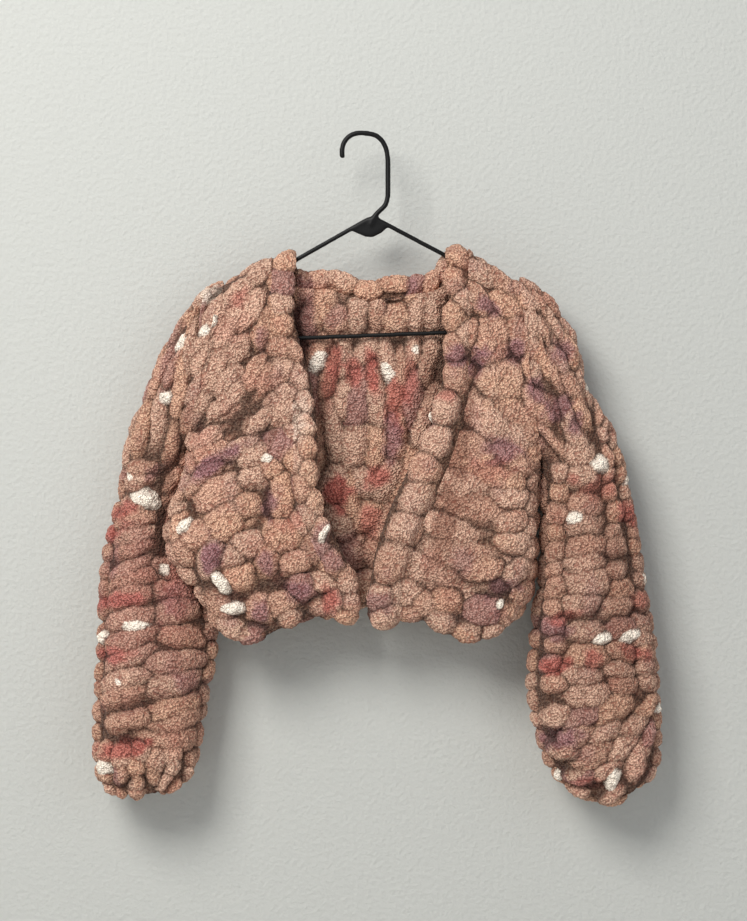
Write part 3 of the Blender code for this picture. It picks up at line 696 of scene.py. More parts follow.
def fold_relief(folds, share, row):
    """Height of the soft folds at each share of the width and row."""
    height = np.zeros(np.broadcast(share, row).shape)
    for share_0, row_0, share_1, row_1, top, width in folds:
        along = np.array([share_1 - share_0, row_1 - row_0])
        length = np.hypot(*along)
        along = along / length
        ahead = (share - share_0) * along[0] + (row - row_0) * along[1]
        aside = (row - row_0) * along[0] - (share - share_0) * along[1]
        past = np.maximum(np.abs(ahead - length / 2) - length / 2, 0)
        height = height + top * np.exp(-((aside / width) ** 2) - (past / width) ** 2)
    return height


def turned_over(row, start=0.0):
    """Share of the quarter turn over the hanger's arm that a row has made."""
    return np.sin(np.pi / 2 * np.minimum(1, row / FOLD_ROW + start))


def front_surfaces(armhole, side, edge, hem, folds, toward, rows, columns):
    """Outer and inner points of a front, one line of points a row, from the side seam to the front edge."""
    x_out, z_side, deep_side, turn, radius = side_edge(armhole, side, rows)
    front = smooth_read(edge, rows)
    row = rows[:, None]
    turning = np.minimum(columns / SIDE_SHARE, 1)[None, :]
    flat = np.maximum(columns - SIDE_SHARE, 0)[None, :] / (1 - SIDE_SHARE)
    angle = -turn + (np.pi / 2 + turn) * turning
    x = x_out + toward * radius * (1 - np.cos(angle))
    x = x + (front[:, 0:1] - x_out - toward * radius) * flat
    x_seam = x_out + toward * radius * (1 - np.cos(turn))
    drape = np.clip((x - x_seam) / (front[:, 0:1] - x_seam), 0, 1)
    hang = np.clip((row - HEM_SAG_START) / (1 - HEM_SAG_START), 0, 1) ** 2
    z = z_side + (front[:, 1:2] - z_side) * drape - smooth_read(hem, drape)[..., 0] * hang
    below_fold = np.clip((row - FOLD_ROW) / FOLD_ROW, 0, 1)
    full = smooth_read(FRONT_DEPTH, rows)[:, 0:1] + fold_relief(folds, drape, row) * below_fold
    behind = full * np.sin(turn) / (1 + np.sin(turn))
    depths = []
    for wall in (0, WALL):
        at_side = (ARM_DEPTH - wall) * deep_side + behind
        here = (full - wall) * turned_over(row)
        ahead = np.where(angle < 0, full - behind, here - at_side)
        depths.append(-HALF_SEAM - at_side - ahead * np.sin(angle))
    outer = np.stack([x, depths[0], z], axis=-1)
    turn_back = angle < -1e-6
    turned = np.zeros(len(columns))
    return outer, wall_inside(outer, depths[1], rows, FRONT, {0: armhole}, turned, turn_back)


def front_columns():
    turn = np.linspace(0, SIDE_SHARE, SIDE_TURN_COLUMNS + 1)
    flat = np.linspace(SIDE_SHARE, 1, FLAT_COLUMNS + 1)[1:]
    return np.concatenate([turn, flat])


def normals_of(points, outward):
    """Outward directions of a grid of points."""
    across = np.gradient(points, axis=1)
    down = np.gradient(points, axis=0)
    normals = unit(np.cross(across, down))
    middle = normals[points.shape[0] // 2, points.shape[1] // 2]
    if np.dot(middle, outward) < 0:
        normals = -normals
    return normals


def armhole_line(armhole):
    """Direction from the underarm to the armhole's top."""
    across = np.array([armhole[0] - armhole[2], 0, armhole[1] - armhole[3]])
    return across / np.linalg.norm(across)


def armhole_inward(armhole, angle):
    """Way from the armhole's outer points to its inner ones, along the armhole's line."""
    up = armhole_line(armhole)
    wide = flattened(angle)[0]
    return -(WALL * (1 + ARM_THICKENING) * wide)[:, None] * up


def shoulder_directions(turned, left, outward):
    """Directions of a panel's top row: square to the shoulder, or turned over to the outside."""
    armhole, neck = (LEFT_ARMHOLE, LEFT_FRONT_EDGE[0]) if left else (RIGHT_ARMHOLE, RIGHT_FRONT_EDGE[0])
    along = np.array([neck[1] - armhole[0], 0, neck[2] - armhole[1]])
    square = unit(np.array([-along[2], 0, along[0]]))
    square = square * np.sign(square[2])
    angle = (np.pi / 2 * turned)[..., None]
    return np.cos(angle) * square + np.sin(angle) * outward


def wall_inside(outer, depth, rows, outward, edges, turned, turn_back):
    """Inner points of a panel; edges maps the column of a seam to its armhole."""
    normals = normals_of(outer, outward)
    on_left = outer[0, :, 0] < 0
    above = rows < 2 * FOLD_ROW
    keep = np.clip(rows[above] / FOLD_ROW - 1, 0, 1)[:, None, None]
    for left in (True, False):
        here = on_left == left
        if here.any():
            made = np.minimum(rows[above][:, None] / FOLD_ROW + turned[here], 1)
            square = shoulder_directions(made, left, outward)
            normals[np.ix_(above, here)] = square * (1 - keep) + normals[np.ix_(above, here)] * keep
    normals = unit(normals)
    sideways = normals * np.array([1, 0, 1])
    full = unit(sideways)
    sideways[turn_back] = full[turn_back]
    below = rows > FOLD_ROW + 1e-6
    flat = np.clip((np.abs(normals[below, :, 1]) - 0.6) / 0.35, 0, 1)[..., None]
    sideways[below] *= 1 - (1 - FACE_LEAN) * flat
    inner = outer - sideways * WALL
    arm = rows <= ARM_ROW + 1e-6
    for column, armhole in edges.items():
        inner[~arm, column] = outer[~arm, column] - full[~arm, column] * WALL
        inward = armhole_inward(armhole, np.pi * rows[arm] / ARM_ROW)[:, None]
        far = np.abs(outer[arm, :, 0] - outer[arm, column, 0][:, None])
        share = np.clip(far / BACK_TURN, 0, 1)[..., None]
        near = share[..., 0] < 1
        blended = outer[arm] + inward * (1 - share) - sideways[arm] * WALL * share
        mixed = inner[arm]
        mixed[near] = blended[near]
        inner[arm] = mixed
    inner[..., 1] = depth
    return inner


def even_stations(points, count, spare=0.0):
    """Stations between a grid's rows, evenly apart on the whole, short of the end by a spare length."""
    steps = np.linalg.norm(np.diff(points, axis=0), axis=-1).mean(axis=1)
    reach = np.concatenate([[0], np.cumsum(steps)])
    return np.interp(np.linspace(0, reach[-1] - spare, count), reach, np.arange(len(reach)))


def resampled(points, stations):
    """Smooth surface through a grid's rows, read at stations between them."""
    flat = points.reshape(len(points), -1)
    read = smooth_read(np.column_stack([np.arange(len(points)), flat]), stations)
    return read.reshape(len(stations), *points.shape[1:])


def across_resampled(points, stations, tube):
    """The same through a grid's columns; a tube's first and last columns are one."""
    turned = points.swapaxes(0, 1)
    if tube:
        turned = np.concatenate([turned[-4:-1], turned, turned[1:4]])
        stations = stations + 3
    return resampled(turned, stations).swapaxes(0, 1)


def refined(outer, inner, rows, columns, times, tube, spare):
    """Fine outer grid, its coarse inner one and the inner edge at the fine columns."""
    down = even_stations(outer, rows * times + 1, spare)
    over = even_stations(outer.swapaxes(0, 1), columns * times + 1)
    fine = across_resampled(resampled(outer, down), over, tube)
    coarse = across_resampled(resampled(inner, down[::times]), over[::times], tube)
    edge = across_resampled(resampled(inner, down[-1:]), over, tube)[0]
    return fine, coarse, edge


def wrapped(outer, edge, steps):
    """Outer face carried on round its free edge towards the inner one."""
    middle = (outer[-1] + edge) / 2
    half = (outer[-1] - edge) / 2
    along = unit(outer[-1] - outer[-4])
    radius = np.linalg.norm(half, axis=-1, keepdims=True)
    rows = [outer]
    for step in range(1, steps):
        angle = math.pi * step / steps
        rows.append((middle + half * math.cos(angle) + along * radius * math.sin(angle))[None])
    return np.concatenate(rows)


def closed_cloth(name, outer, inner, times, tube, colours, material):
    """Closed piece of cloth: a fine outer grid, a coarse inner one and the rims between them."""
    bm = bmesh.new()
    layer = bm.verts.layers.float_color.new("yarn")
    grids = []
    rims = []
    for points, tints in zip((outer, inner), colours):
        rows, columns = points.shape[:2]
        grid = bmesh.ops.create_grid(bm, x_segments=columns - 1, y_segments=rows - 1, size=1)["verts"]
        for vert, point, tint in zip(grid, points.reshape(-1, 3) * MM, tints.reshape(-1, 3)):
            vert.co = point
            vert[layer] = (*tint, 1.0)
        last = (rows - 1) * columns
        rim = [range(columns), range(last, last + columns)]
        if not tube:
            rim += [range(0, last + 1, columns), range(columns - 1, last + columns, columns)]
        grids.append(grid)
        rims.append([list(line) for line in rim])
    for fine, coarse in zip(*rims):
        for k, (a, b) in enumerate(zip(coarse, coarse[1:])):
            stop = len(fine) if k == len(coarse) - 2 else (k + 1) * times + 1
            ring = [grids[0][v] for v in fine[k * times : stop]]
            bm.faces.new(ring + [grids[1][b], grids[1][a]])
    if tube:
        bmesh.ops.remove_doubles(bm, verts=bm.verts, dist=1e-6)
    bmesh.ops.recalc_face_normals(bm, faces=bm.faces)
    mesh = bpy.data.meshes.new(name)
    bm.to_mesh(mesh)
    bm.free()
    return new_object(name, mesh, material)


def plain_tints(points):
    return np.broadcast_to(np.array(YARN_COLOURS["rose"]) * 0.8, points.shape)


def edge_fade(points, edges, reach):
    """0 on the named edges of a grid and 1 a reach away from them."""
    keep = np.ones(points.shape[:2])
    for edge in edges:
        if edge == "top":
            apart = np.linalg.norm(points - points[:1], axis=-1)
        elif edge == "left":
            apart = np.linalg.norm(points - points[:, :1], axis=-1)
        else:
            apart = np.linalg.norm(points - points[:, -1:], axis=-1)
        keep = np.minimum(keep, np.clip(apart / reach, 0, 1))
    return keep * keep * (3 - 2 * keep)


def spread(points, edges, amount, reach=8.0):
    """Grid pushed on past the named edges along its own surface, so that it laps the next piece."""
    moved = points.copy()
    for edge in edges:
        grid = {"top": moved, "left": moved.swapaxes(0, 1), "right": moved.swapaxes(0, 1)[::-1]}[edge]
        way = unit(grid[0] - grid[3])
        apart = np.linalg.norm(grid - grid[:1], axis=-1)
        grid += way * amount * np.clip(1 - apart / reach, 0, 1)[..., None]
    return moved


# Yarn: very thick looped chenille in dusty rose with cream, mauve and red in it, knitted by hand on thick
# needles. Each stitch is a soft lump of about 20 mm, and the loops of its pile are 2 to 3 mm.

STITCH_HEIGHT = 12.5
GROUND = 9.0
STITCH_THICKNESS = 15.0
STITCH_SQUARENESS = 2.3
STITCH_REACH = 1.5
SKIRT = 0.3
# shares of a stitch's height: what flat stitches rise to, and the lowest ground
LEVEL = 0.78
DEEPEST = -0.1
# bends of the stitches: size of the wave, how far it moves them, first seed
STITCH_WAVES = ((17.0, 3.0, 5), (6.5, 1.5, 8))
# painted shade in the creases between stitches and in hollows: shares of a stitch's height, then how much
# each kind counts
CREASE_WIDTH = 0.35
CREASE_START = 0.4
HOLLOW_START = 0.1
HOLLOW_WIDTH = 0.6
CREASE_SHARE = 0.85
HOLLOW_SHARE = 0.35
CREASE_DEPTH = 4.8
# how dark the creases and hollows are painted, as painted shade
CREASE_PAINTED_SHADE = 0.8
CURL_SIZE = 4.6
CURL_HEIGHT = 2.4
CURL_WAVE = (4.0, 0.9, 50)
LUMP_SIZE = 8.0
LUMP_HEIGHT = 1.0
SEAM_FADE = 4.0
SEAM_CLOSING = 1.6

# yarn colours, linear, and painted_shade: a dark brown painted as shade, not a yarn colour
YARN_COLOURS = {
    "rose": (0.79, 0.48, 0.35),
    "light": (0.90, 0.62, 0.475),
    "peach": (0.92, 0.57, 0.39),
    "painted_shade": (0.40, 0.205, 0.145),
    "mauve": (0.42, 0.21, 0.23),
    "red": (0.66, 0.20, 0.165),
    "cream": (1.35, 1.24, 1.08),
}


def scrambled(cells, seed):
    """Even numbers from 0 to 1 for whole-number cells, the same on every run."""
    key = cells[..., 0] * 374761393 + cells[..., 1] * 668265263 + cells[..., 2] * 1442695041
    key = (key + seed * 1446650) & 0xFFFFFFFF
    key = ((key ^ (key >> 13)) * 1274126177) & 0xFFFFFFFF
    key = key ^ (key >> 16)
    return (key & 0xFFFF) / 65535.0


def curls(points, size, seed):
    """Rounded curls packed side by side: 1 on their tops, 0 between them."""
    scaled = points / size
    base = np.floor(scaled).astype(np.int64)
    nearest = np.full(points.shape[:-1], 9.0)
    for dx in (-1, 0, 1):
        for dy in (-1, 0, 1):
            for dz in (-1, 0, 1):
                cell = base + np.array([dx, dy, dz])
                apart = np.zeros(points.shape[:-1])
                for axis in range(3):
                    apart += (cell[..., axis] + scrambled(cell, seed + axis) - scaled[..., axis]) ** 2
                nearest = np.minimum(nearest, apart)
    return np.clip(1 - nearest, 0, 1)


def drift(points, size, seed):
    """Slow noise from -1 to 1."""
    scaled = points / size
    base = np.floor(scaled).astype(np.int64)
    part = scaled - base
    part = part * part * (3 - 2 * part)
    total = np.zeros(points.shape[:-1])
    for dx in (0, 1):
        for dy in (0, 1):
            for dz in (0, 1):
                corner = np.array([dx, dy, dz])
                weight = np.prod(np.abs(1 - corner - part), axis=-1)
                total += weight * scrambled(base + corner, seed)
    return total * 2 - 1


def wave(points, size, reach, seed):
    """Slow shift of each point, up to about its reach each way."""
    return np.stack([drift(points, size, seed + axis) for axis in range(3)], axis=-1) * reach


def grid_normals(points, tube, outward):
    """Outward directions of a fine grid; a tube's first and last columns are one."""
    if tube:
        points = np.concatenate([points[:, -2:-1], points, points[:, 1:2]], axis=1)
    normals = unit(np.cross(np.gradient(points, axis=1), np.gradient(points, axis=0)))
    if tube:
        normals = normals[:, 1:-1]
        points = points[:, 1:-1]
        outward = points - points.mean(axis=1, keepdims=True)
    return normals * np.sign(np.sum(normals * outward))


def stitch_relief(points, stitches):
    """Height of each point on the stitches, how clear it is of the painted shade of the creases and hollows
    between them, and its stitch.
    """
    flat = points.reshape(-1, 3)
    moved = flat + sum(wave(flat, *row) for row in STITCH_WAVES)
    top = np.full(len(flat), DEEPEST)
    below = top.copy()
    peak = np.ones(len(flat))
    owner = np.zeros(len(flat), int)
    for number, (centre, along, normal, half_long, half_wide, height, _) in enumerate(stitches):
        near = np.nonzero(np.abs(moved - centre).max(axis=1) < STITCH_REACH * max(half_long, half_wide))[0]
        if not len(near):
            continue
        offset = moved[near] - centre
        across = np.cross(normal, along)
        apart = np.abs(offset @ along / half_long) ** STITCH_SQUARENESS
        apart = apart + np.abs(offset @ across / half_wide) ** STITCH_SQUARENESS
        apart = apart + (offset @ normal / STITCH_THICKNESS) ** 2
        dome = np.where(apart < 1, np.sqrt(np.clip(1 - apart, 0, 1)), (1 - apart) * SKIRT)
        raised = np.maximum(height * dome + (1 - height) * LEVEL, DEEPEST)
        was = top[near]
        below[near] = np.maximum(below[near], np.minimum(raised, was))
        higher = raised > was
        top[near] = np.where(higher, raised, was)
        owner[near[higher]] = number
        peak[near[higher]] = height + (1 - height) * LEVEL
    # painted shade: darkest in narrow creases between stitches, and some in hollows below a stitch's peak
    sunk = peak - top
    crease = (1 - np.clip((top - below) / CREASE_WIDTH, 0, 1)) * np.clip(sunk / CREASE_START, 0, 1)
    hollow = np.clip((sunk - HOLLOW_START) / HOLLOW_WIDTH, 0, 1)
    crease = np.clip(CREASE_SHARE * crease + HOLLOW_SHARE * hollow, 0, 1)
    shape = points.shape[:-1]
    relief = np.maximum(STITCH_HEIGHT * top - GROUND, -CREASE_DEPTH)
    return relief.reshape(shape), (1 - crease).reshape(shape), owner.reshape(shape)


# how far stitches lap over their neighbours, and how much larger and higher flecks stand
LONG_OVERLAP = 1.5
WIDE_OVERLAP = 1.24
SINGLE_SPAN = 1.2
CLEAR_OF_SINGLES = 1.1
FLECK_SPAN = 1.2
FLECK_RISE = 0.2
LONG_FLECK = 14.0
# how far a stitch strays from an even row: turn in degrees, shares of size, height, place and pitch
TURN_TOSS = 15.0
SIZE_TOSS = 0.17
HEIGHT_TOSS = 0.2
PLACE_TOSS = 0.26
PITCH_TOSS = 0.26
# the same for a row down one edge: start, turn in radians, size, height and pitch
EDGE_TOSSES = (0.3, 0.16, 0.1, 0.12, 0.15)
EDGE_HEIGHT = 0.95


def tossed(number, seed):
    """Even number from -1 to 1 that belongs to a count."""
    return float(scrambled(np.array([number, seed, number * 7 + seed]), seed)) * 2 - 1


def along_line(points, at):
    """Point and direction at a length along a line of points."""
    steps = np.diff(points, axis=0)
    lengths = np.linalg.norm(steps, axis=1)
    reach = np.concatenate([[0], np.cumsum(lengths)])
    k = int(np.clip(np.searchsorted(reach, at, side="right") - 1, 0, len(steps) - 1))
    share = (at - reach[k]) / lengths[k]
    return points[k] + steps[k] * share, steps[k] / lengths[k]


def flat_lumps(knit, seed):
    """Lumps of fans of strands as seen from the front: x, z, direction, half sizes, height."""
    lumps = []
    for number, (guide_a, guide_b, strands, pitch, lay, tilt, height) in enumerate(knit):
        guide_a, guide_b = np.array(guide_a, float), np.array(guide_b, float)
        for k in range(strands):
            share = (k + 0.5) / strands
            line = guide_a * (1 - share) + guide_b * share
            length = np.linalg.norm(np.diff(line, axis=0), axis=1).sum()
            at = pitch * (0.25 + 0.5 * (k % 2) + 0.2 * tossed(k, seed + number))
            while at < length:
                toss = int(at * 10) + 131 * k + 1009 * number
                place, way = along_line(line, at)
                share_down = at / length * (len(line) - 1)
                j = min(int(share_down), len(line) - 2)
                apart = np.linalg.norm((guide_b - guide_a)[j : j + 2], axis=1)
                gap = guide_b[j] - guide_a[j]
                gap = gap / max(np.linalg.norm(gap), 1e-6)
                half_strand = np.interp(share_down - j, (0, 1), apart) / strands / 2
                half_strand *= abs(gap[0] * way[1] - gap[1] * way[0])
                overlaps = (LONG_OVERLAP, WIDE_OVERLAP) if lay == "along" else (WIDE_OVERLAP, WIDE_OVERLAP)
                sizes = (pitch / 2, half_strand) if lay == "along" else (half_strand, pitch / 2)
                sizes = [size * overlap for size, overlap in zip(sizes, overlaps)]
                turn = math.radians((0 if lay == "along" else 90) + tilt + TURN_TOSS * tossed(toss, 3))
                cos, sin = math.cos(turn), math.sin(turn)
                turned = (way[0] * cos - way[1] * sin, way[0] * sin + way[1] * cos)
                grow = 1.02 + SIZE_TOSS * tossed(toss, 4)
                tall = height * (1 + HEIGHT_TOSS * tossed(toss, 8))
                shift = np.array([tossed(toss, 5), tossed(toss, 6)]) * PLACE_TOSS * min(sizes)
                lumps.append((*(place + shift), *turned, sizes[0] * grow, sizes[1] * grow, tall))
                at += pitch * (1 + PITCH_TOSS * tossed(toss, 7))
    return lumps


def laid_on(lumps, points, normals, facing, reach=14.0):
    """Stitches where flat lumps meet, or nearly meet, the side of a surface that looks one way."""
    seen = (normals @ facing > 0.2).ravel()
    places = points.reshape(-1, 3)[seen][::3]
    ways = normals.reshape(-1, 3)[seen][::3]
    stitches = []
    for x, z, way_x, way_z, half_long, half_wide, height in lumps:
        apart = (places[:, 0] - x) ** 2 + (places[:, 2] - z) ** 2
        nearest = int(np.argmin(apart))
        if apart[nearest] > reach**2:
            continue
        normal = ways[nearest]
        along = np.array([way_x, 0, way_z])
        along = along - normal * (along @ normal)
        along = along / np.linalg.norm(along)
        centre = np.array([x, places[nearest, 1], z])
        stitches.append((centre, along, normal, half_long, half_wide, height, "rose"))
    return stitches


def rope_lumps(rows):
    """Flat lumps from rows of x, z, half length, half width, angle, height."""
    lumps = []
    for x, z, half_long, half_wide, angle, height in rows:
        turn = math.radians(angle)
        sizes = (SINGLE_SPAN * half_long, SINGLE_SPAN * half_wide)
        lumps.append((x, z, math.cos(turn), math.sin(turn), *sizes, height))
    return lumps


def cleared(lumps, singles):
    """Fan lumps that leave room for single ones."""
    kept = []
    for lump in lumps:
        free = True
        for x, z, way_x, way_z, half_long, half_wide, _ in singles:
            dx, dz = lump[0] - x, lump[1] - z
            along, across = dx * way_x + dz * way_z, dz * way_x - dx * way_z
            free = free and (along / half_long) ** 2 + (across / half_wide) ** 2 > CLEAR_OF_SINGLES
        if free:
            kept.append(lump)
    return kept


def column_stitches(points, normals, column, start, stop, pitch, half_long, lay, seed):
    """Stitches down one column of a grid, between two shares of its length."""
    line = points[:, column]
    reach = np.concatenate([[0], np.cumsum(np.linalg.norm(np.diff(line, axis=0), axis=1))])
    length = reach[-1]
    start_toss, turn_toss, size_toss, height_toss, pitch_toss = EDGE_TOSSES
    at = start * length + pitch * (0.5 + start_toss * tossed(seed, 1))
    stitches = []
    while at < stop * length:
        toss = int(at * 10) + seed * 977
        row = int(np.clip(np.searchsorted(reach, at), 1, len(line) - 2))
        down = unit(line[row + 1] - line[row - 1])
        normal = normals[row, column]
        across = np.cross(normal, down)
        turn = turn_toss * tossed(toss, 2)
        ahead, aside = (down, across) if lay == "along" else (across, down)
        along = ahead * math.cos(turn) + aside * math.sin(turn)
        grow = WIDE_OVERLAP + size_toss * tossed(toss, 3)
        sizes = (pitch / 2, half_long) if lay == "along" else (half_long, pitch / 2)
        tall = EDGE_HEIGHT + height_toss * tossed(toss, 5)
        stitches.append((line[row], unit(along), normal, sizes[0] * grow, sizes[1] * grow, tall, "rose"))
        at += pitch * (1 + pitch_toss * tossed(toss, 4))
    return stitches


def flecks(rows, points, normals, facing):
    """Raised lumps of cream yarn: x, z, half length, half width, angle."""
    lumps = []
    for x, z, half_long, half_wide, angle in rows:
        turn = math.radians(angle)
        sizes = (FLECK_SPAN * half_long, FLECK_SPAN * half_wide)
        height = 1 + FLECK_RISE * min(1, half_long / LONG_FLECK)
        lumps.append((x, z, math.cos(turn), math.sin(turn), *sizes, height))
    return [(*stitch[:6], "cream") for stitch in laid_on(lumps, points, normals, facing)]


# stitches of another shade: where each shade ends or starts in a number from 0 to 1, and its share
LIGHT_UP_TO = 0.42
PEACH_UP_TO = 0.6
MAUVE_FROM = 0.95
SHADE_SHARE = 0.55
TONE_RANGE = (0.93, 1.07)
# stretches of dyed yarn: colour, strength, size, seed
STRETCHES = (("mauve", 0.35, 24.0, 4), ("red", 0.30, 30.0, 5), ("light", 0.5, 36.0, 6))
# ragged edges of spots and stretches: size, strength, seed
RAGGED = ((6.0, 0.6, 2), (13.0, 0.7, 3))
SPOT_EDGE = 1.2
SPOT_SHARPNESS = 1.7
SPOT_ON_FLECK = 0.1
# painted shade between the curls, which turns to painted light on their tops, and the warm tone given to
# painted shade
CURL_PAINTED_SHADE = (0.68, 0.5)
PAINTED_SHADE_TONE = np.array([1.0, 0.9, 0.86])


def other_shade(pick):
    """Colour that a stitch leans to, from its even number from 0 to 1."""
    if pick < LIGHT_UP_TO:
        return "light"
    if pick < PEACH_UP_TO:
        return "peach"
    return "mauve" if pick > MAUVE_FROM else "rose"


def tinted(points, normals, lip, owner, curl, stitches, spots, seed):
    """Colour of each point of the yarn, with painted shade in its creases and between its curls."""
    kinds = {name: np.array(colour) for name, colour in YARN_COLOURS.items()}
    count = len(stitches)
    numbers = np.arange(count)
    picks = scrambled(np.stack([numbers, numbers * 3 + seed, numbers * 0 + seed], axis=-1), seed)
    tones = scrambled(np.stack([numbers, numbers * 5 + seed, numbers * 0 + 9], axis=-1), seed + 1)
    own = np.zeros((count, 3))
    for number, stitch in enumerate(stitches):
        kind = stitch[6]
        colour = kinds[kind]
        if kind == "rose":
            colour = colour * (1 - SHADE_SHARE) + kinds[other_shade(picks[number])] * SHADE_SHARE
            colour = colour * np.interp(tones[number], (0, 1), TONE_RANGE)
        own[number] = colour
    tint = own[owner]
    fixed = np.array([stitch[6] == "cream" for stitch in stitches])[owner]
    mottle = sum(drift(points, size, seed + step) * share for size, share, step in RAGGED)
    for kind, share, size, step in STRETCHES:
        patch = np.clip(drift(points, size, seed + step) * 1.6 + 0.5 * mottle - 0.5, 0, 1) * share
        patch = np.where(fixed, 0, patch)[..., None]
        tint = tint * (1 - patch) + kinds[kind] * patch
    front = np.clip(0.5 - normals[..., 1] * 2, 0, 1)
    for x, z, half_x, half_z, angle, kind, strength in spots:
        turn = math.radians(angle)
        dx = points[..., 0] - x
        dz = points[..., 2] - z
        a = (dx * math.cos(turn) + dz * math.sin(turn)) / half_x
        b = (dz * math.cos(turn) - dx * math.sin(turn)) / half_z
        inside = np.clip(SPOT_SHARPNESS * (SPOT_EDGE - np.hypot(a, b) + 0.5 * mottle), 0, 1)
        inside = inside * strength * front
        inside = np.where(fixed, inside * SPOT_ON_FLECK, inside)[..., None]
        tint = tint * (1 - inside) + kinds[kind] * inside
    # painted shade in creases and hollows and between the curls, light on the curls' tops and warmer where
    # it is dark
    darkest, lighter = CURL_PAINTED_SHADE
    shade = ((1 - CREASE_PAINTED_SHADE * (1 - lip)) * (darkest + lighter * curl))[..., None]
    return tint * shade * (PAINTED_SHADE_TONE + (1 - PAINTED_SHADE_TONE) * np.minimum(shade, 1))


def dressed(points, tube, outward, stitches, spots, seed, keep=None):
    """Surface with its stitches and curls raised, and its colours with painted shade; keep is 0 where a
    seam closes.
    """
    normals = grid_normals(points, tube, outward)
    relief, lip, owner = stitch_relief(points, stitches)
    size, reach, step = CURL_WAVE
    bent = points + wave(points, size, reach, seed + step)
    curl = curls(bent, CURL_SIZE, seed)
    height = relief + CURL_HEIGHT * (curl - 0.5) + LUMP_HEIGHT * (curls(bent, LUMP_SIZE, seed + 40) - 0.5)
    if keep is not None:
        height = height * keep + SEAM_CLOSING * (1 - keep)
    tints = tinted(points, normals, lip, owner, curl, stitches, spots, seed)
    return points + normals * height[..., None], tints


# the finest loops, as bump and as painted shade in their pits and painted highlight on their tips: loops to
# the metre, bend and depth in metres, tints of pits and tips
LOOPS_PER_METRE = 430.0
LOOP_BENDS_PER_METRE = 180.0
LOOP_BEND = 0.0013
LOOP_DEPTH = 0.0022
PIT_PAINTED_SHADE = (0.46, 0.33, 0.31)
TIP_PAINTED_HIGHLIGHT = (1.14, 1.15, 1.11)
# cream yarn gets less of that painted shade and highlight: brightness at which that starts and is full,
# share, even tint
PALE_FROM = 0.64
PALE_FULL = 0.95
PALE_SHARE = 0.7
PALE_TINT = (0.95, 0.93, 0.9)


def yarn_material():
    material, tree, shader = plain_material("chenille_yarn", (0.5, 0.3, 0.22), 0.95)
    nodes, links = tree.nodes, tree.links
    shader.inputs["Sheen Weight"].default_value = 0.12
    shader.inputs["Sheen Tint"].default_value = (1.0, 0.8, 0.7, 1.0)
    shader.inputs["Sheen Roughness"].default_value = 0.5
    shader.inputs["Specular IOR Level"].default_value = 0.15
    place = nodes.new("ShaderNodeTexCoord")
    curl = nodes.new("ShaderNodeTexNoise")
    curl.inputs["Scale"].default_value = LOOP_BENDS_PER_METRE
    curl.inputs["Detail"].default_value = 1.0
    bent = nodes.new("ShaderNodeVectorMath")
    bent.operation = "MULTIPLY_ADD"
    bent.inputs[1].default_value = (LOOP_BEND, LOOP_BEND, LOOP_BEND)
    loops = nodes.new("ShaderNodeTexVoronoi")
    loops.feature = "SMOOTH_F1"
    loops.inputs["Smoothness"].default_value = 0.3
    loops.inputs["Scale"].default_value = LOOPS_PER_METRE
    height = nodes.new("ShaderNodeMapRange")
    height.inputs["From Min"].default_value = 0.24
    height.inputs["From Max"].default_value = 0.80
    height.inputs["To Min"].default_value = 1.0
    height.inputs["To Max"].default_value = 0.0
    bump = nodes.new("ShaderNodeBump")
    bump.inputs["Strength"].default_value = 1.0
    bump.inputs["Distance"].default_value = LOOP_DEPTH
    tint = nodes.new("ShaderNodeAttribute")
    tint.attribute_name = "yarn"
    # painted shade in the loops' pits and painted highlight on their tips
    shade = nodes.new("ShaderNodeMapRange")
    shade.data_type = "FLOAT_VECTOR"
    shade.inputs[9].default_value = PIT_PAINTED_SHADE
    shade.inputs[10].default_value = TIP_PAINTED_HIGHLIGHT
    pale = nodes.new("ShaderNodeMapRange")
    pale.inputs["From Min"].default_value = PALE_FROM
    pale.inputs["From Max"].default_value = PALE_FULL
    pale.inputs["To Max"].default_value = PALE_SHARE
    evened = nodes.new("ShaderNodeMix")
    evened.data_type = "VECTOR"
    evened.inputs[5].default_value = PALE_TINT
    mixed = nodes.new("ShaderNodeVectorMath")
    mixed.operation = "MULTIPLY"
    links.new(place.outputs["Object"], curl.inputs["Vector"])
    links.new(curl.outputs["Color"], bent.inputs[0])
    links.new(place.outputs["Object"], bent.inputs[2])
    links.new(bent.outputs[0], loops.inputs["Vector"])
    links.new(loops.outputs["Distance"], height.inputs["Value"])
    links.new(height.outputs["Result"], bump.inputs["Height"])
    links.new(bump.outputs["Normal"], shader.inputs["Normal"])
    links.new(height.outputs["Result"], shade.inputs["Vector"])
    links.new(tint.outputs["Vector"], mixed.inputs[0])
    links.new(tint.outputs["Fac"], pale.inputs["Value"])
    links.new(pale.outputs["Result"], evened.inputs[0])
    links.new(shade.outputs["Vector"], evened.inputs[4])
    links.new(evened.outputs[1], mixed.inputs[1])
    links.new(mixed.outputs[0], shader.inputs["Base Color"])
    return material


yarn = yarn_material()


# rows and columns of the fronts' grids, how often each is divided, and their turned edges
FRONT_ROWS = 36
FRONT_COLUMNS = 17
FRONT_FINER = 11
WRAP_ROWS = 22
SHARED_REACH = 28.0
DOWN = np.array([0, 0, -1.0])
WRAP_SPARE = 6.0
FRONT_LAP = 3.0
# rows of stitches down the turned side: grid column, seed; start, end, pitch and half length
SIDE_COLUMNS = ((2, 50), (28, 60))
SIDE_STITCHES = (0.42, 1.0, 26, 12)
LEFT_FRONT_TABLES = (LEFT_ARMHOLE, LEFT_SIDE, LEFT_FRONT_EDGE, LEFT_HEM, LEFT_FOLDS, 1)
RIGHT_FRONT_TABLES = (RIGHT_ARMHOLE, RIGHT_SIDE, RIGHT_FRONT_EDGE, RIGHT_HEM, RIGHT_FOLDS, -1)


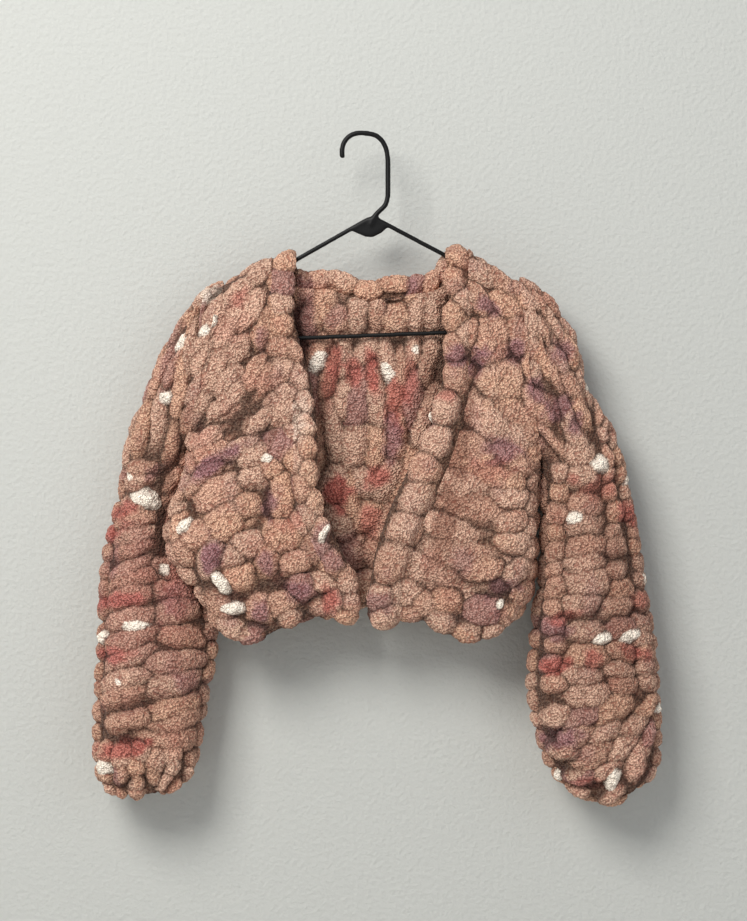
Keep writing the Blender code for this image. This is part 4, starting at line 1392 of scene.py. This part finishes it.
def add_front(name, node, tables, knit, sleeve_knit, front_lumps, band_lumps, fleck_rows, spots, seed):
    outer, inner = front_surfaces(*tables, panel_rows(), front_columns())
    outer, inner, edge = refined(outer, inner, FRONT_ROWS, FRONT_COLUMNS, FRONT_FINER, False, WRAP_SPARE)
    outer = spread(wrapped(outer, edge, WRAP_ROWS), ("top", "left", "right"), FRONT_LAP)
    normals = grid_normals(outer, False, FRONT)
    singles = rope_lumps(front_lumps)
    lumps = cleared(flat_lumps(knit, seed), singles) + singles
    stitches = laid_on(lumps, outer, normals, FRONT) + laid_on(lumps, outer, normals, DOWN)
    stitches += laid_on(rope_lumps(band_lumps), outer, normals, FRONT, SHARED_REACH)
    underarm = tables[0][3]
    shared = [lump for lump in flat_lumps(sleeve_knit, seed + 20) if lump[1] > underarm]
    stitches += laid_on(shared, outer, normals, FRONT, SHARED_REACH)
    for column, step in SIDE_COLUMNS:
        stitches += column_stitches(outer, normals, column, *SIDE_STITCHES, "across", seed + step)
    stitches += flecks(fleck_rows, outer, normals, FRONT)
    surface, tints = dressed(outer, False, FRONT, stitches, spots, seed)
    piece = closed_cloth(name, surface, inner, FRONT_FINER, False, (tints, plain_tints(inner)), yarn)
    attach(piece, "root")
    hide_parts(node)


add_front("left_front_cloth", "left_front", LEFT_FRONT_TABLES, LEFT_FRONT_KNIT, LEFT_SLEEVE_KNIT,
          LEFT_FRONT_LUMPS, LEFT_BAND_LUMPS, LEFT_FRONT_FLECKS, LEFT_FRONT_SPOTS, 11)
add_front("right_front_cloth", "right_front", RIGHT_FRONT_TABLES, RIGHT_FRONT_KNIT, RIGHT_SLEEVE_KNIT,
          RIGHT_FRONT_LUMPS, RIGHT_BAND_LUMPS, RIGHT_FRONT_FLECKS, RIGHT_FRONT_SPOTS, 12)


# Back: one panel of the same knitting behind the hanger's bar. Its inside shows through the open front,
# with long ribs that run down from the neck, and it is joined to the fronts at shoulders and sides.

BACK_DEPTH = ((0.0, 20.0), (0.1, 20.0), (0.3, 23.0), (0.6, 25.0), (0.85, 26.0), (1.0, 24.0))
BACK_HEM = ((0.0, 0.0), (0.12, 6.0), (0.3, 0.0), (0.5, -12.0), (0.7, 4.0), (0.88, 13.0), (1.0, 0.0))
# top of the back: x, z, turn over the hanger's arm (0 on the seam, 1 behind the arm)
BACK_TOP = (
    (-157.3, -161.7, 0.0),
    (-140.0, -152.2, 0.0),
    (-122.0, -142.2, 0.0),
    (-104.5, -132.6, 0.0),
    (-99.5, -138.5, 0.5),
    (-94.5, -151.0, 1.0),
    (-86.0, -161.5, 1.0),
    (-70.0, -170.5, 1.0),
    (-38.5, -172.0, 1.0),
    (-18.0, -179.0, 1.0),
    (2.2, -184.8, 1.0),
    (24.0, -181.0, 1.0),
    (46.0, -178.2, 1.0),
    (80.0, -172.0, 1.0),
    (97.0, -157.5, 1.0),
    (105.5, -145.0, 1.0),
    (110.5, -132.4, 0.5),
    (115.5, -126.5, 0.0),
    (133.0, -136.5, 0.0),
    (152.0, -147.5, 0.0),
    (170.5, -158.4, 0.0),
)
BACK_FOLDS = (
    (0.25, 0.1, 0.2, 0.95, 2.0, 0.06),
    (0.48, 0.2, 0.5, 0.95, 2.0, 0.05),
    (0.75, 0.1, 0.8, 0.95, 2.0, 0.06),
)
BACK_INSIDE_KNIT = (
    (((-82, -141), (-72, -290), (-65, -378), (-47, -532)),
     ((96, -134), (82, -290), (78, -378), (69, -532)), 7, 60, "along", 0, 0.9),
)
BACK_OUTSIDE_KNIT = (
    (((-176, -139), (-193, -246), (-217, -378), (-220, -532)),
     ((179, -139), (193, -246), (198, -378), (193, -532)), 17, 40, "along", 0, 0.85),
)
INSIDE_LUMPS = (
    (-61, -200, 20, 12, 85, 0.95),
    (-34, -201, 17, 16, 0, 0.95),
    (-8, -195, 22, 10, 80, 0.95),
    (13, -194, 20, 10, -80, 0.85),
    (35, -201, 18, 15, 20, 0.95),
    (58, -194, 25, 10, 78, 0.95),
    (77, -187, 25, 9, 85, 0.85),
    (-53, -240, 24, 11, 76, 1.0),
    (-40, -263, 34, 8, 76, 1.0),
    (-24, -242, 26, 9, -84, 1.0),
    (-24, -288, 26, 9, 80, 1.0),
    (-9, -290, 40, 13, 84, 1.05),
    (-14, -341, 30, 14, 78, 1.0),
    (-1, -238, 24, 10, 52, 0.95),
    (12, -288, 42, 11, -82, 1.05),
    (13, -341, 26, 11, 86, 1.0),
    (24, -246, 27, 10, -74, 1.05),
    (37, -273, 38, 11, 78, 1.05),
    (34, -328, 34, 12, 88, 1.0),
    (52, -237, 22, 9, 84, 1.0),
    (53, -288, 34, 10, 80, 1.0),
    (69, -246, 30, 9, 78, 0.95),
    (67, -312, 36, 10, 74, 0.95),
    (-34, -383, 26, 15, 55, 0.95),
    (-3, -381, 22, 15, -30, 0.95),
    (23, -378, 26, 14, 62, 0.95),
    (-30, -425, 24, 14, -50, 0.95),
    (1, -422, 22, 14, 30, 0.95),
    (25, -425, 22, 14, 60, 0.95),
    (-16, -462, 24, 14, 50, 0.95),
    (12, -462, 22, 14, -40, 0.95),
    (-3, -497, 26, 14, 20, 0.95),
    (-28, -499, 22, 14, 60, 0.95),
    (23, -502, 22, 14, 60, 0.95),
)
BACK_INSIDE_FLECKS = (
    (-53, -244, 21, 10, 72),
    (25, -254, 22, 8, -72),
    (53, -235, 12, 7, 80),
)
# dyed spots, and spots of painted shade (painted_shade) in long strips down the lining and low in its
# middle
BACK_INSIDE_SPOTS = (
    (-38, -263, 9, 40, -8, "red", 0.95),
    (-14, -260, 9, 16, 0, "red", 0.8),
    (9, -263, 8, 30, 8, "red", 0.9),
    (33, -293, 12, 34, 0, "red", 0.75),
    (30, -334, 10, 26, 0, "mauve", 0.8),
    (-33, -395, 16, 22, 20, "red", 0.95),
    (14, -376, 14, 14, 0, "red", 0.85),
    (-66, -202, 12, 26, 0, "mauve", 0.8),
    (-33, -197, 14, 12, 0, "mauve", 0.4),
    (50, -268, 8, 30, 0, "red", 0.6),
    (-22, -466, 20, 30, 0, "mauve", 0.7),
    (6, -422, 12, 20, 0, "red", 0.6),
    (-52, -312, 12, 80, -10, "painted_shade", 0.6),
    (-16, -488, 30, 50, 0, "painted_shade", 0.5),
    (74, -290, 12, 70, 10, "painted_shade", 0.5),
    (-66, -213, 12, 50, 0, "painted_shade", 0.4),
)


def back_columns():
    """Places across the back's top: seam turns, shoulders, neck."""
    turn = BACK_TURN * (1 - np.cos(np.radians([22.5, 45.0, 67.5])))
    left = LEFT_ARMHOLE[0]
    right = RIGHT_ARMHOLE[0]
    middle = [row[0] for row in BACK_TOP]
    return np.array(sorted([*(left + turn), *(right - turn), *middle]))


def back_surfaces(rows, columns):
    """Outer and inner points of the back, from the left side seam to the right one."""
    left = side_edge(LEFT_ARMHOLE, LEFT_SIDE, rows)
    right = side_edge(RIGHT_ARMHOLE, RIGHT_SIDE, rows)
    x_left = left[0] + left[4] * (1 - np.cos(left[3]))
    x_right = right[0] - right[4] * (1 - np.cos(right[3]))
    share = ((columns - columns[0]) / (columns[-1] - columns[0]))[None, :]
    top = corner_read(BACK_TOP, columns)
    row = rows[:, None]
    x = x_left + (x_right - x_left) * share
    level = left[1] + (right[1] - left[1]) * share
    raised = (top[:, 0][None, :] - level[0:1]) * (1 - row) ** 2
    hang = np.clip((row - HEM_SAG_START) / (1 - HEM_SAG_START), 0, 1) ** 2
    z = level + raised - smooth_read(BACK_HEM, share)[..., 0] * hang
    below_fold = np.clip((row - FOLD_ROW) / FOLD_ROW, 0, 1)
    full = smooth_read(BACK_DEPTH, rows)[:, 0:1] + fold_relief(BACK_FOLDS, share, row) * below_fold
    from_left = x - x_left
    from_right = x_right - x
    reach = np.minimum(np.minimum(from_left, from_right) / BACK_TURN, 1)
    near = np.sqrt(np.maximum(1 - (1 - reach) ** 2, 0))
    deep_side = np.where(from_left < from_right, left[2], right[2])
    depths = []
    for wall in (0, WALL):
        at_side = (ARM_DEPTH - wall) * deep_side
        here = (full - wall) * turned_over(row, top[:, 1][None, :])
        depths.append(HALF_SEAM + at_side + (here - at_side) * near)
    outer = np.stack([x, depths[0], z], axis=-1)
    edges = {0: LEFT_ARMHOLE, -1: RIGHT_ARMHOLE}
    return outer, wall_inside(outer, depths[1], rows, BACK, edges, top[:, 1], np.zeros(x.shape, bool))


def corner_read(table, at):
    """Straight reading between the stations, so that the neck's corners stay."""
    table = np.asarray(table, float)
    return np.stack([np.interp(at, table[:, 0], table[:, k]) for k in (1, 2)], axis=-1)


BACK_ROWS = 180
BACK_ACROSS = 160
BACK_WRAP_ROWS = 10
BACK_LAP = 2.0
OUTSIDE_SEED = 21
INSIDE_SEED = 22
NECK_SWELL = 5.5
NECK_REACH = 30.0


def add_back():
    outer, inner = back_surfaces(panel_rows(), back_columns())
    down = even_stations(outer, BACK_ROWS, WRAP_SPARE)
    over = even_stations(outer.swapaxes(0, 1), BACK_ACROSS)
    outer, inner = (across_resampled(resampled(points, down), over, False) for points in (outer, inner))
    edge = inner[-1]
    outer = spread(wrapped(outer, edge, BACK_WRAP_ROWS), ("left", "right"), BACK_LAP)
    inner = spread(inner, ("top",), FRONT_LAP)
    inner = inner + FRONT * NECK_SWELL * (1 - edge_fade(inner, ("top",), NECK_REACH))[..., None]
    normals = grid_normals(outer, False, BACK)
    stitches = laid_on(flat_lumps(BACK_OUTSIDE_KNIT, OUTSIDE_SEED), outer, normals, BACK)
    surface, tints = dressed(outer, False, BACK, stitches, (), OUTSIDE_SEED)
    faced = grid_normals(inner, False, FRONT)
    singles = rope_lumps(INSIDE_LUMPS)
    lumps = cleared(flat_lumps(BACK_INSIDE_KNIT, INSIDE_SEED), singles) + singles
    ribs = laid_on(lumps, inner, faced, FRONT)
    ribs += laid_on(rope_lumps(NECK_LUMPS), inner, faced, FRONT, SHARED_REACH)
    ribs += flecks(BACK_INSIDE_FLECKS, inner, faced, FRONT)
    keep = edge_fade(inner, ("left", "right"), 2 * SEAM_FADE)
    lining, lining_tints = dressed(inner, False, FRONT, ribs, BACK_INSIDE_SPOTS, INSIDE_SEED, keep)
    piece = closed_cloth("back_cloth", surface, lining, 1, False, (tints, lining_tints), yarn)
    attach(piece, "root")
    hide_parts("back")


add_back()


# Sleeves: two tubes of the same knitting, closed under the arm and set in at the armholes. They hang flat
# beside the body and end in loose cuffs with no ribbing.

# sleeves: outer x, z, inner x, z, middle of the depth, half depth, how much lower the middle hangs
LEFT_SLEEVE = (
    (-157.3, -161.7, -194.7, -350.9, 0.0, 24.0, 0.0),
    (-177.1, -172.7, -198.5, -360.0, 3.0, 24.0, 0.0),
    (-198.0, -199.0, -203.0, -371.0, 7.0, 25.0, 0.0),
    (-225.5, -244.0, -207.5, -384.0, 11.0, 26.0, 0.0),
    (-241.0, -286.0, -210.0, -399.0, 14.0, 26.0, 0.0),
    (-257.0, -320.0, -211.0, -415.0, 16.0, 27.0, 0.0),
    (-265.0, -352.0, -210.5, -432.0, 17.0, 27.0, 0.0),
    (-270.0, -393.0, -207.0, -453.0, 17.0, 28.0, 0.0),
    (-279.0, -424.0, -196.0, -478.0, 16.0, 29.0, 0.0),
    (-287.0, -460.0, -180.0, -504.0, 14.0, 30.0, 0.0),
    (-290.4, -498.0, -168.0, -535.0, 10.0, 32.0, 0.0),
    (-291.5, -554.0, -166.0, -571.0, 4.0, 34.0, 0.0),
    (-294.8, -612.0, -174.9, -615.0, 0.0, 35.0, 0.0),
    (-296.0, -662.0, -182.6, -666.6, -2.0, 35.0, 4.0),
    (-293.0, -697.0, -189.0, -693.0, -3.0, 33.0, 10.0),
    (-285.0, -713.0, -198.0, -708.0, -3.0, 28.0, 14.0),
)
RIGHT_SLEEVE = (
    (170.5, -158.4, 190.3, -367.4, 0.0, 24.0, 0.0),
    (198.0, -173.8, 193.6, -382.8, 2.0, 25.0, 0.0),
    (214.5, -198.0, 194.7, -400.4, 3.0, 27.0, 0.0),
    (233.2, -227.7, 195.8, -422.4, 4.0, 29.0, 0.0),
    (239.8, -273.9, 195.8, -446.6, 4.0, 31.0, 0.0),
    (262.9, -309.1, 193.6, -471.9, 4.0, 32.0, 0.0),
    (280.5, -352.0, 191.4, -497.2, 3.0, 33.0, 0.0),
    (291.5, -404.8, 187.0, -523.6, 2.0, 34.0, 0.0),
    (300.3, -453.2, 183.7, -550.0, 1.0, 35.0, 0.0),
    (306.9, -499.4, 181.5, -576.4, 0.0, 35.0, 0.0),
    (316.8, -554.4, 180.4, -603.9, -1.0, 36.0, 0.0),
    (320.1, -609.4, 184.8, -636.9, -2.0, 36.0, 0.0),
    (322.3, -658.9, 193.6, -669.9, -3.0, 36.0, 3.0),
    (319.0, -695.2, 206.8, -699.6, -3.0, 33.0, 10.0),
    (302.5, -712.8, 225.5, -715.0, -3.0, 28.0, 16.0),
)
# lengthwise ridge on each sleeve's front: angle (0 outer line, 90 front, 180 inner line), height, width
SLEEVE_RIDGES = {"left": (75.0, 4.0, 30.0), "right": (128.0, 8.0, 34.0)}
SLEEVE_ROUND = 22
SLEEVE_ROWS = 24
SLEEVE_SETTLE = 0.16
LEFT_SLEEVE_FLECKS = (
    (-201, -230, 14, 7, 65),
    (-219, -289, 9, 8, 0),
    (-174, -216, 12, 7, 50),
    (-244, -399, 17, 10, -8),
    (-257, -376, 7, 6, 0),
    (-250, -536, 19, 7, 0),
    (-288, -551, 8, 8, 0),
    (-264, -598, 10, 8, 0),
    (-286, -692, 12, 10, 20),
    (-219, -475, 9, 8, 0),
)
RIGHT_SLEEVE_FLECKS = (
    (254, -361, 12, 10, 15),
    (242, -277, 7, 7, 0),
    (284, -378, 8, 5, 70),
    (228, -420, 11, 9, 20),
    (255, -549, 12, 8, 0),
    (288, -547, 16, 8, 12),
    (270, -701, 8, 15, 0),
    (209, -701, 7, 6, -30),
    (305, -488, 9, 5, 80),
    (320, -629, 8, 5, 60),
)
# dyed spots, and painted shade (painted_shade) over the whole sleeve and in strips down its inner side
LEFT_SLEEVE_SPOTS = (
    (-172, -176, 18, 9, 45, "cream", 0.6),
    (-237, -510, 75, 150, 0, "painted_shade", 0.34),
    (-264, -415, 20, 10, 10, "red", 0.85),
    (-280, -436, 14, 12, 0, "red", 0.9),
    (-270, -510, 30, 9, 8, "red", 0.9),
    (-272, -568, 24, 9, 0, "red", 0.85),
    (-261, -667, 32, 12, 12, "red", 0.9),
    (-206, -483, 16, 60, 0, "red", 0.45),
    (-193, -598, 20, 14, 0, "mauve", 0.7),
    (-212, -246, 9, 40, -12, "mauve", 0.5),
    (-226, -367, 20, 8, 20, "mauve", 0.5),
    (-278, -345, 10, 8, 0, "mauve", 0.4),
    (-272, -373, 14, 8, 0, "mauve", 0.4),
    (-204, -510, 22, 22, 0, "mauve", 0.45),
    (-275, -466, 8, 20, 0, "mauve", 0.5),
    (-237, -510, 70, 110, 0, "red", 0.16),
    (-237, -510, 70, 110, 0, "mauve", 0.14),
    (-186, -554, 20, 110, 0, "painted_shade", 0.5),
    (-217, -422, 12, 70, 0, "painted_shade", 0.55),
    (-204, -334, 9, 40, -20, "painted_shade", 0.5),
)
# dyed spots, and painted shade (painted_shade) over the whole sleeve and in strips down its middle and
# outer side
RIGHT_SLEEVE_SPOTS = (
    (258, -510, 85, 160, 0, "painted_shade", 0.3),
    (215, -238, 16, 14, -30, "mauve", 0.8),
    (211, -299, 14, 16, 0, "mauve", 0.85),
    (227, -318, 10, 16, 0, "mauve", 0.8),
    (186, -279, 9, 16, 0, "mauve", 0.8),
    (258, -386, 20, 16, 0, "red", 0.6),
    (283, -414, 16, 14, 0, "red", 0.9),
    (201, -538, 24, 13, 0, "mauve", 0.8),
    (215, -527, 20, 8, 20, "red", 0.7),
    (206, -579, 20, 10, 0, "red", 0.85),
    (248, -571, 14, 10, 0, "red", 0.7),
    (294, -565, 16, 10, -10, "red", 0.95),
    (302, -507, 14, 10, 0, "red", 0.5),
    (209, -659, 26, 12, 0, "mauve", 0.85),
    (228, -378, 10, 8, 0, "red", 0.6),
    (248, -708, 30, 8, 0, "red", 0.5),
    (248, -510, 12, 30, 0, "mauve", 0.3),
    (274, -510, 14, 130, 6, "painted_shade", 0.5),
    (302, -499, 26, 140, 8, "painted_shade", 0.22),
)


def sleeve_surfaces(table, armhole, ridge, rows, around):
    """Outer and inner points of a sleeve, one ring a row, from its outer line round by the front."""
    table = np.asarray(table, float)
    stations = np.arange(len(table), dtype=float)
    read = smooth_read(np.column_stack([stations, table]), rows * (len(table) - 1))[:, :, None]
    wide, deep = (share[None, :] for share in flattened(around))
    ridge_angle, ridge_height, ridge_width = ridge
    aside = (np.degrees(around) - ridge_angle + 180) % 360 - 180
    grown = np.clip((rows - 0.3) * 4, 0, 1) * np.clip((1 - rows) * 8, 0, 1)
    ridged = grown[:, None] * ridge_height * np.exp(-((aside / ridge_width) ** 2))[None, :]
    x = (read[:, 0] + read[:, 2]) / 2 + (read[:, 0] - read[:, 2]) / 2 * wide
    z = (read[:, 1] + read[:, 3]) / 2 + (read[:, 1] - read[:, 3]) / 2 * wide
    z = z - read[:, 6] * deep**2
    outer_depth = read[:, 4] - (read[:, 5] + ridged) * deep
    inner_depth = read[:, 4] - (read[:, 5] + ridged - WALL) * deep
    outer = np.stack([x, outer_depth, z], axis=-1)
    up = armhole_line(armhole)
    to_body = np.array([-up[2], 0, up[0]]) * (-1 if armhole[0] < 0 else 1)
    outer[0] -= to_body * SEAM
    closed = np.concatenate([outer[:, -2:-1], outer, outer[:, 1:2]], axis=1)
    normals = unit(np.cross(np.gradient(closed, axis=1)[:, 1:-1], np.gradient(outer, axis=0)))
    middle = outer[:, :-1].mean(axis=1, keepdims=True)
    normals *= np.sign(np.sum(normals * (outer - middle)))
    natural = -normals * np.array([1, 0, 1]) * WALL
    share = np.clip(rows / SLEEVE_SETTLE, 0, 1)[:, None, None]
    inner = outer + armhole_inward(armhole, around) * (1 - share) + natural * share
    inner[..., 1] = inner_depth
    return outer, inner


SLEEVE_DOWN = 36
SLEEVE_OVER = 20
SLEEVE_FINER = 11
MIRROR_SHIFT = 9.0
SLEEVE_LAP = 2.0
# stitches down the sleeve's two edges: start, end, pitch, half length, lay
EDGE_STITCHES = ((0.0, 0.45, 40, 11, "along"), (0.45, 1.0, 22, 15, "across"))
EDGE_SEEDS = (70, 80)


def add_sleeve(name, node, table, armhole, ridge, knit, front_knit, fleck_rows, spots, seed):
    rows = np.linspace(0, 1, SLEEVE_ROWS + 1)
    around = np.linspace(0, 2 * np.pi, SLEEVE_ROUND + 1)
    outer, inner = sleeve_surfaces(table, armhole, ridge, rows, around)
    outer, inner, edge = refined(outer, inner, SLEEVE_DOWN, SLEEVE_OVER, SLEEVE_FINER, True, WRAP_SPARE)
    outer = spread(wrapped(outer, edge, WRAP_ROWS), ("top",), SLEEVE_LAP)
    normals = grid_normals(outer, True, None)
    lumps = flat_lumps(knit, seed)
    stitches = laid_on(lumps, outer, normals, FRONT) + laid_on(lumps, outer, normals, DOWN)
    shared = [lump for lump in flat_lumps(front_knit, seed - 20) if lump[1] > armhole[3]]
    stitches += laid_on(shared, outer, normals, FRONT, SHARED_REACH)
    behind = [(x, z - MIRROR_SHIFT, *rest) for x, z, *rest in lumps]
    stitches += laid_on(behind, outer, normals, BACK)
    count = outer.shape[1] - 1
    for column, step in zip((0, count // 2), EDGE_SEEDS):
        for row in EDGE_STITCHES:
            stitches += column_stitches(outer, normals, column, *row, seed + step)
    stitches += flecks(fleck_rows, outer, normals, FRONT)
    surface, tints = dressed(outer, True, None, stitches, spots, seed)
    piece = closed_cloth(name, surface, inner, SLEEVE_FINER, True, (tints, plain_tints(inner)), yarn)
    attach(piece, "root")
    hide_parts(node)


add_sleeve("left_sleeve_cloth", "left_sleeve", LEFT_SLEEVE, LEFT_ARMHOLE, SLEEVE_RIDGES["left"],
           LEFT_SLEEVE_KNIT, LEFT_FRONT_KNIT, LEFT_SLEEVE_FLECKS, LEFT_SLEEVE_SPOTS, 31)
add_sleeve("right_sleeve_cloth", "right_sleeve", RIGHT_SLEEVE, RIGHT_ARMHOLE, SLEEVE_RIDGES["right"],
           RIGHT_SLEEVE_KNIT, RIGHT_FRONT_KNIT, RIGHT_SLEEVE_FLECKS, RIGHT_SLEEVE_SPOTS, 32)


# Bands: thick rolled edges of the same yarn, knitted on along both fronts and across the back neck.
# Each is a rope of big round lumps; the two front bands have a rounded lower end.

BAND_GAP = 0.6
# bands: row, half width, half thickness, sink towards the body
LEFT_BAND = (
    (0.0, 13.0, 5.5, 2.0),
    (0.1, 13.5, 8.5, -1.5),
    (0.3, 14.5, 10.5, -1.5),
    (0.45, 15.0, 13.0, -1.0),
    (0.7, 15.5, 14.0, 0.0),
    (1.0, 15.0, 13.0, 0.0),
)
RIGHT_BAND = (
    (0.0, 13.0, 5.5, 2.0),
    (0.1, 13.5, 8.5, -1.5),
    (0.3, 15.0, 10.5, -1.5),
    (0.5, 18.0, 14.0, -1.0),
    (0.65, 22.0, 15.0, 0.0),
    (1.0, 20.0, 14.0, 0.0),
)
NECK_BAND = (
    (0.0, 13.0, 5.5, 2.0),
    (0.12, 12.0, 6.5, 0.0),
    (0.5, 12.0, 7.5, 0.0),
    (0.88, 12.0, 6.5, 0.0),
    (1.0, 13.0, 5.5, 2.0),
)

LEFT_BAND_FLECKS = (
    (-79, -304, 9, 7, 20),
    (-44, -433, 14, 5, 70),
)
RIGHT_BAND_FLECKS = (
    (66, -304, 6, 6, 0),
    (96, -268, 6, 5, 0),
)
LEFT_BAND_SPOTS = (
    (-78, -312, 20, 26, 0, "cream", 0.4),
    (-63, -277, 12, 16, 0, "light", 0.6),
    (-52, -373, 14, 50, 10, "peach", 0.6),
    (-44, -444, 14, 22, -15, "mauve", 0.6),
    (-36, -466, 16, 12, 0, "mauve", 0.6),
    (-22, -494, 20, 12, 0, "light", 0.6),
    (-35, -510, 8, 16, 0, "red", 0.9),
)
RIGHT_BAND_SPOTS = (
    (101, -244, 14, 12, 0, "mauve", 0.85),
    (90, -286, 12, 9, 0, "red", 0.6),
    (65, -317, 14, 10, 0, "mauve", 0.5),
    (52, -422, 30, 50, 0, "light", 0.5),
    (12, -510, 18, 12, 0, "mauve", 0.6),
    (82, -378, 10, 20, 0, "peach", 0.5),
)
NECK_SPOTS = (
    (-69, -169, 14, 20, 0, "mauve", 0.7),
    (-22, -153, 18, 14, 0, "light", 0.5),
    (52, -164, 8, 12, 0, "mauve", 0.6),
)


def band_rings(table, outer, inner, rows, toward, ends, around):
    """Rings of a band laid along a panel's edge; ends are the closing rows' directions."""
    read = smooth_read(table, rows)
    middle = (outer + inner) / 2
    normal = unit(outer - inner)
    along = unit(np.gradient(middle, axis=0))
    for row, direction in ends.items():
        along[row] = direction
    beside = unit(np.cross(along, normal))
    beside *= np.sign(np.sum(beside * toward, axis=1))[:, None]
    half_width = read[:, 0:1]
    half_thick = read[:, 1:2]
    centre = middle + beside * (half_width + BAND_GAP) - normal * read[:, 2:3]
    angle = around[None, :, None]
    rings = centre[:, None] + (beside * half_width)[:, None] * np.cos(angle)
    return rings + (normal * half_thick)[:, None] * np.sin(angle), centre, along


BAND_ROUND = 66
BAND_ROWS = 300
NECK_ROWS = 170
NECK_SPARE = 0.01
END_STEPS = 12
BAND_REACH = 16.0
BAND_SEAM_SLOPE = 2.5


def rope_end(rings, centre, along, row, direction, steps):
    """Rings that round a rope's end."""
    made = []
    reach = np.linalg.norm(rings[row] - centre[row], axis=-1).mean()
    for step in range(1, steps):
        angle = math.pi / 2 * step / steps
        small = centre[row] + (rings[row] - centre[row]) * math.cos(angle)
        made.append(small + along[row] * direction * reach * math.sin(angle))
    return np.array(made)


def closed_rope(name, rings, colours, material):
    bm = bmesh.new()
    layer = bm.verts.layers.float_color.new("yarn")
    around = rings.shape[1]
    loops = []
    for ring, tints in zip(rings * MM, colours):
        loop = []
        for point, tint in zip(ring, tints):
            vert = bm.verts.new(point)
            vert[layer] = (*tint, 1.0)
            loop.append(vert)
        loops.append(loop)
    for upper, lower in zip(loops, loops[1:]):
        for k in range(around):
            after = (k + 1) % around
            bm.faces.new((upper[k], upper[after], lower[after], lower[k]))
    bm.faces.new(loops[0])
    bm.faces.new(loops[-1])
    bmesh.ops.recalc_face_normals(bm, faces=bm.faces)
    mesh = bpy.data.meshes.new(name)
    bm.to_mesh(mesh)
    bm.free()
    return new_object(name, mesh, material)


def dress_rope(name, node, rings, lumps, fleck_rows, spots, seed, flat):
    """Rope with its lumps, smooth on the side that lies against the panel, half a turn round."""
    closed = np.concatenate([rings, rings[:, :1]], axis=1)
    normals = grid_normals(closed, True, None)
    flat_rows = rope_lumps(lumps)
    stitches = laid_on(flat_rows, closed, normals, FRONT, BAND_REACH)
    stitches += laid_on(flat_rows, closed, normals, BACK, BAND_REACH)
    stitches += flecks(fleck_rows, closed, normals, FRONT)
    turns = np.linspace(0, 2 * np.pi, closed.shape[1])
    keep = np.clip(BAND_SEAM_SLOPE * (1 - np.cos(turns - math.pi)), 0, 1)
    keep = keep[None, :] * np.ones((len(closed), 1))
    surface, tints = dressed(closed, True, None, stitches, spots, seed, keep)
    piece = closed_rope(name, surface[:, :-1], tints[:, :-1], yarn)
    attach(piece, "root")
    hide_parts(node)


def add_front_band(name, node, table, toward, tables, *knit):
    rows = panel_rows()
    outer, inner = (grid[:, -1] for grid in front_surfaces(*tables, rows, front_columns()))
    around = np.linspace(0, 2 * np.pi, BAND_ROUND + 1)[:-1]
    sideways = np.array([toward, 0, 0])
    rings, centre, along = band_rings(table, outer, inner, rows, sideways, {0: FRONT}, around)
    down = even_stations(rings, BAND_ROWS)
    rings, centre, along = (resampled(points, down) for points in (rings, centre, along))
    rings = np.concatenate([rings, rope_end(rings, centre, along, -1, 1, END_STEPS)])
    dress_rope(name, node, rings, *knit)


add_front_band("left_band_rope", "left_band", LEFT_BAND, 1.0, LEFT_FRONT_TABLES, LEFT_BAND_LUMPS,
               LEFT_BAND_FLECKS, LEFT_BAND_SPOTS, 41, (0.06, 0.42))
add_front_band("right_band_rope", "right_band", RIGHT_BAND, -1.0, RIGHT_FRONT_TABLES, RIGHT_BAND_LUMPS,
               RIGHT_BAND_FLECKS, RIGHT_BAND_SPOTS, 42, (0.06, 0.42))


def add_neck_band():
    columns = back_columns()
    start = LEFT_FRONT_EDGE[0][1] - NECK_SPARE
    end = RIGHT_FRONT_EDGE[0][1] + NECK_SPARE
    neck = (columns >= start) & (columns <= end)
    outer, inner = (grid[0][neck] for grid in back_surfaces(panel_rows(), columns))
    lengths = np.concatenate([[0], np.cumsum(np.linalg.norm(np.diff(outer, axis=0), axis=1))])
    around = np.linspace(0, 2 * np.pi, BAND_ROUND + 1)[:-1]
    upward = np.array([0, 0, 1.0])
    ends = {0: BACK, -1: -BACK}
    rings = band_rings(NECK_BAND, outer, inner, lengths / lengths[-1], upward, ends, around)[0]
    rings = resampled(rings, even_stations(rings, NECK_ROWS))
    dress_rope("neck_band_rope", "neck_band", rings, NECK_LUMPS, (), NECK_SPOTS, 43, (0.04, 0.24))


add_neck_band()
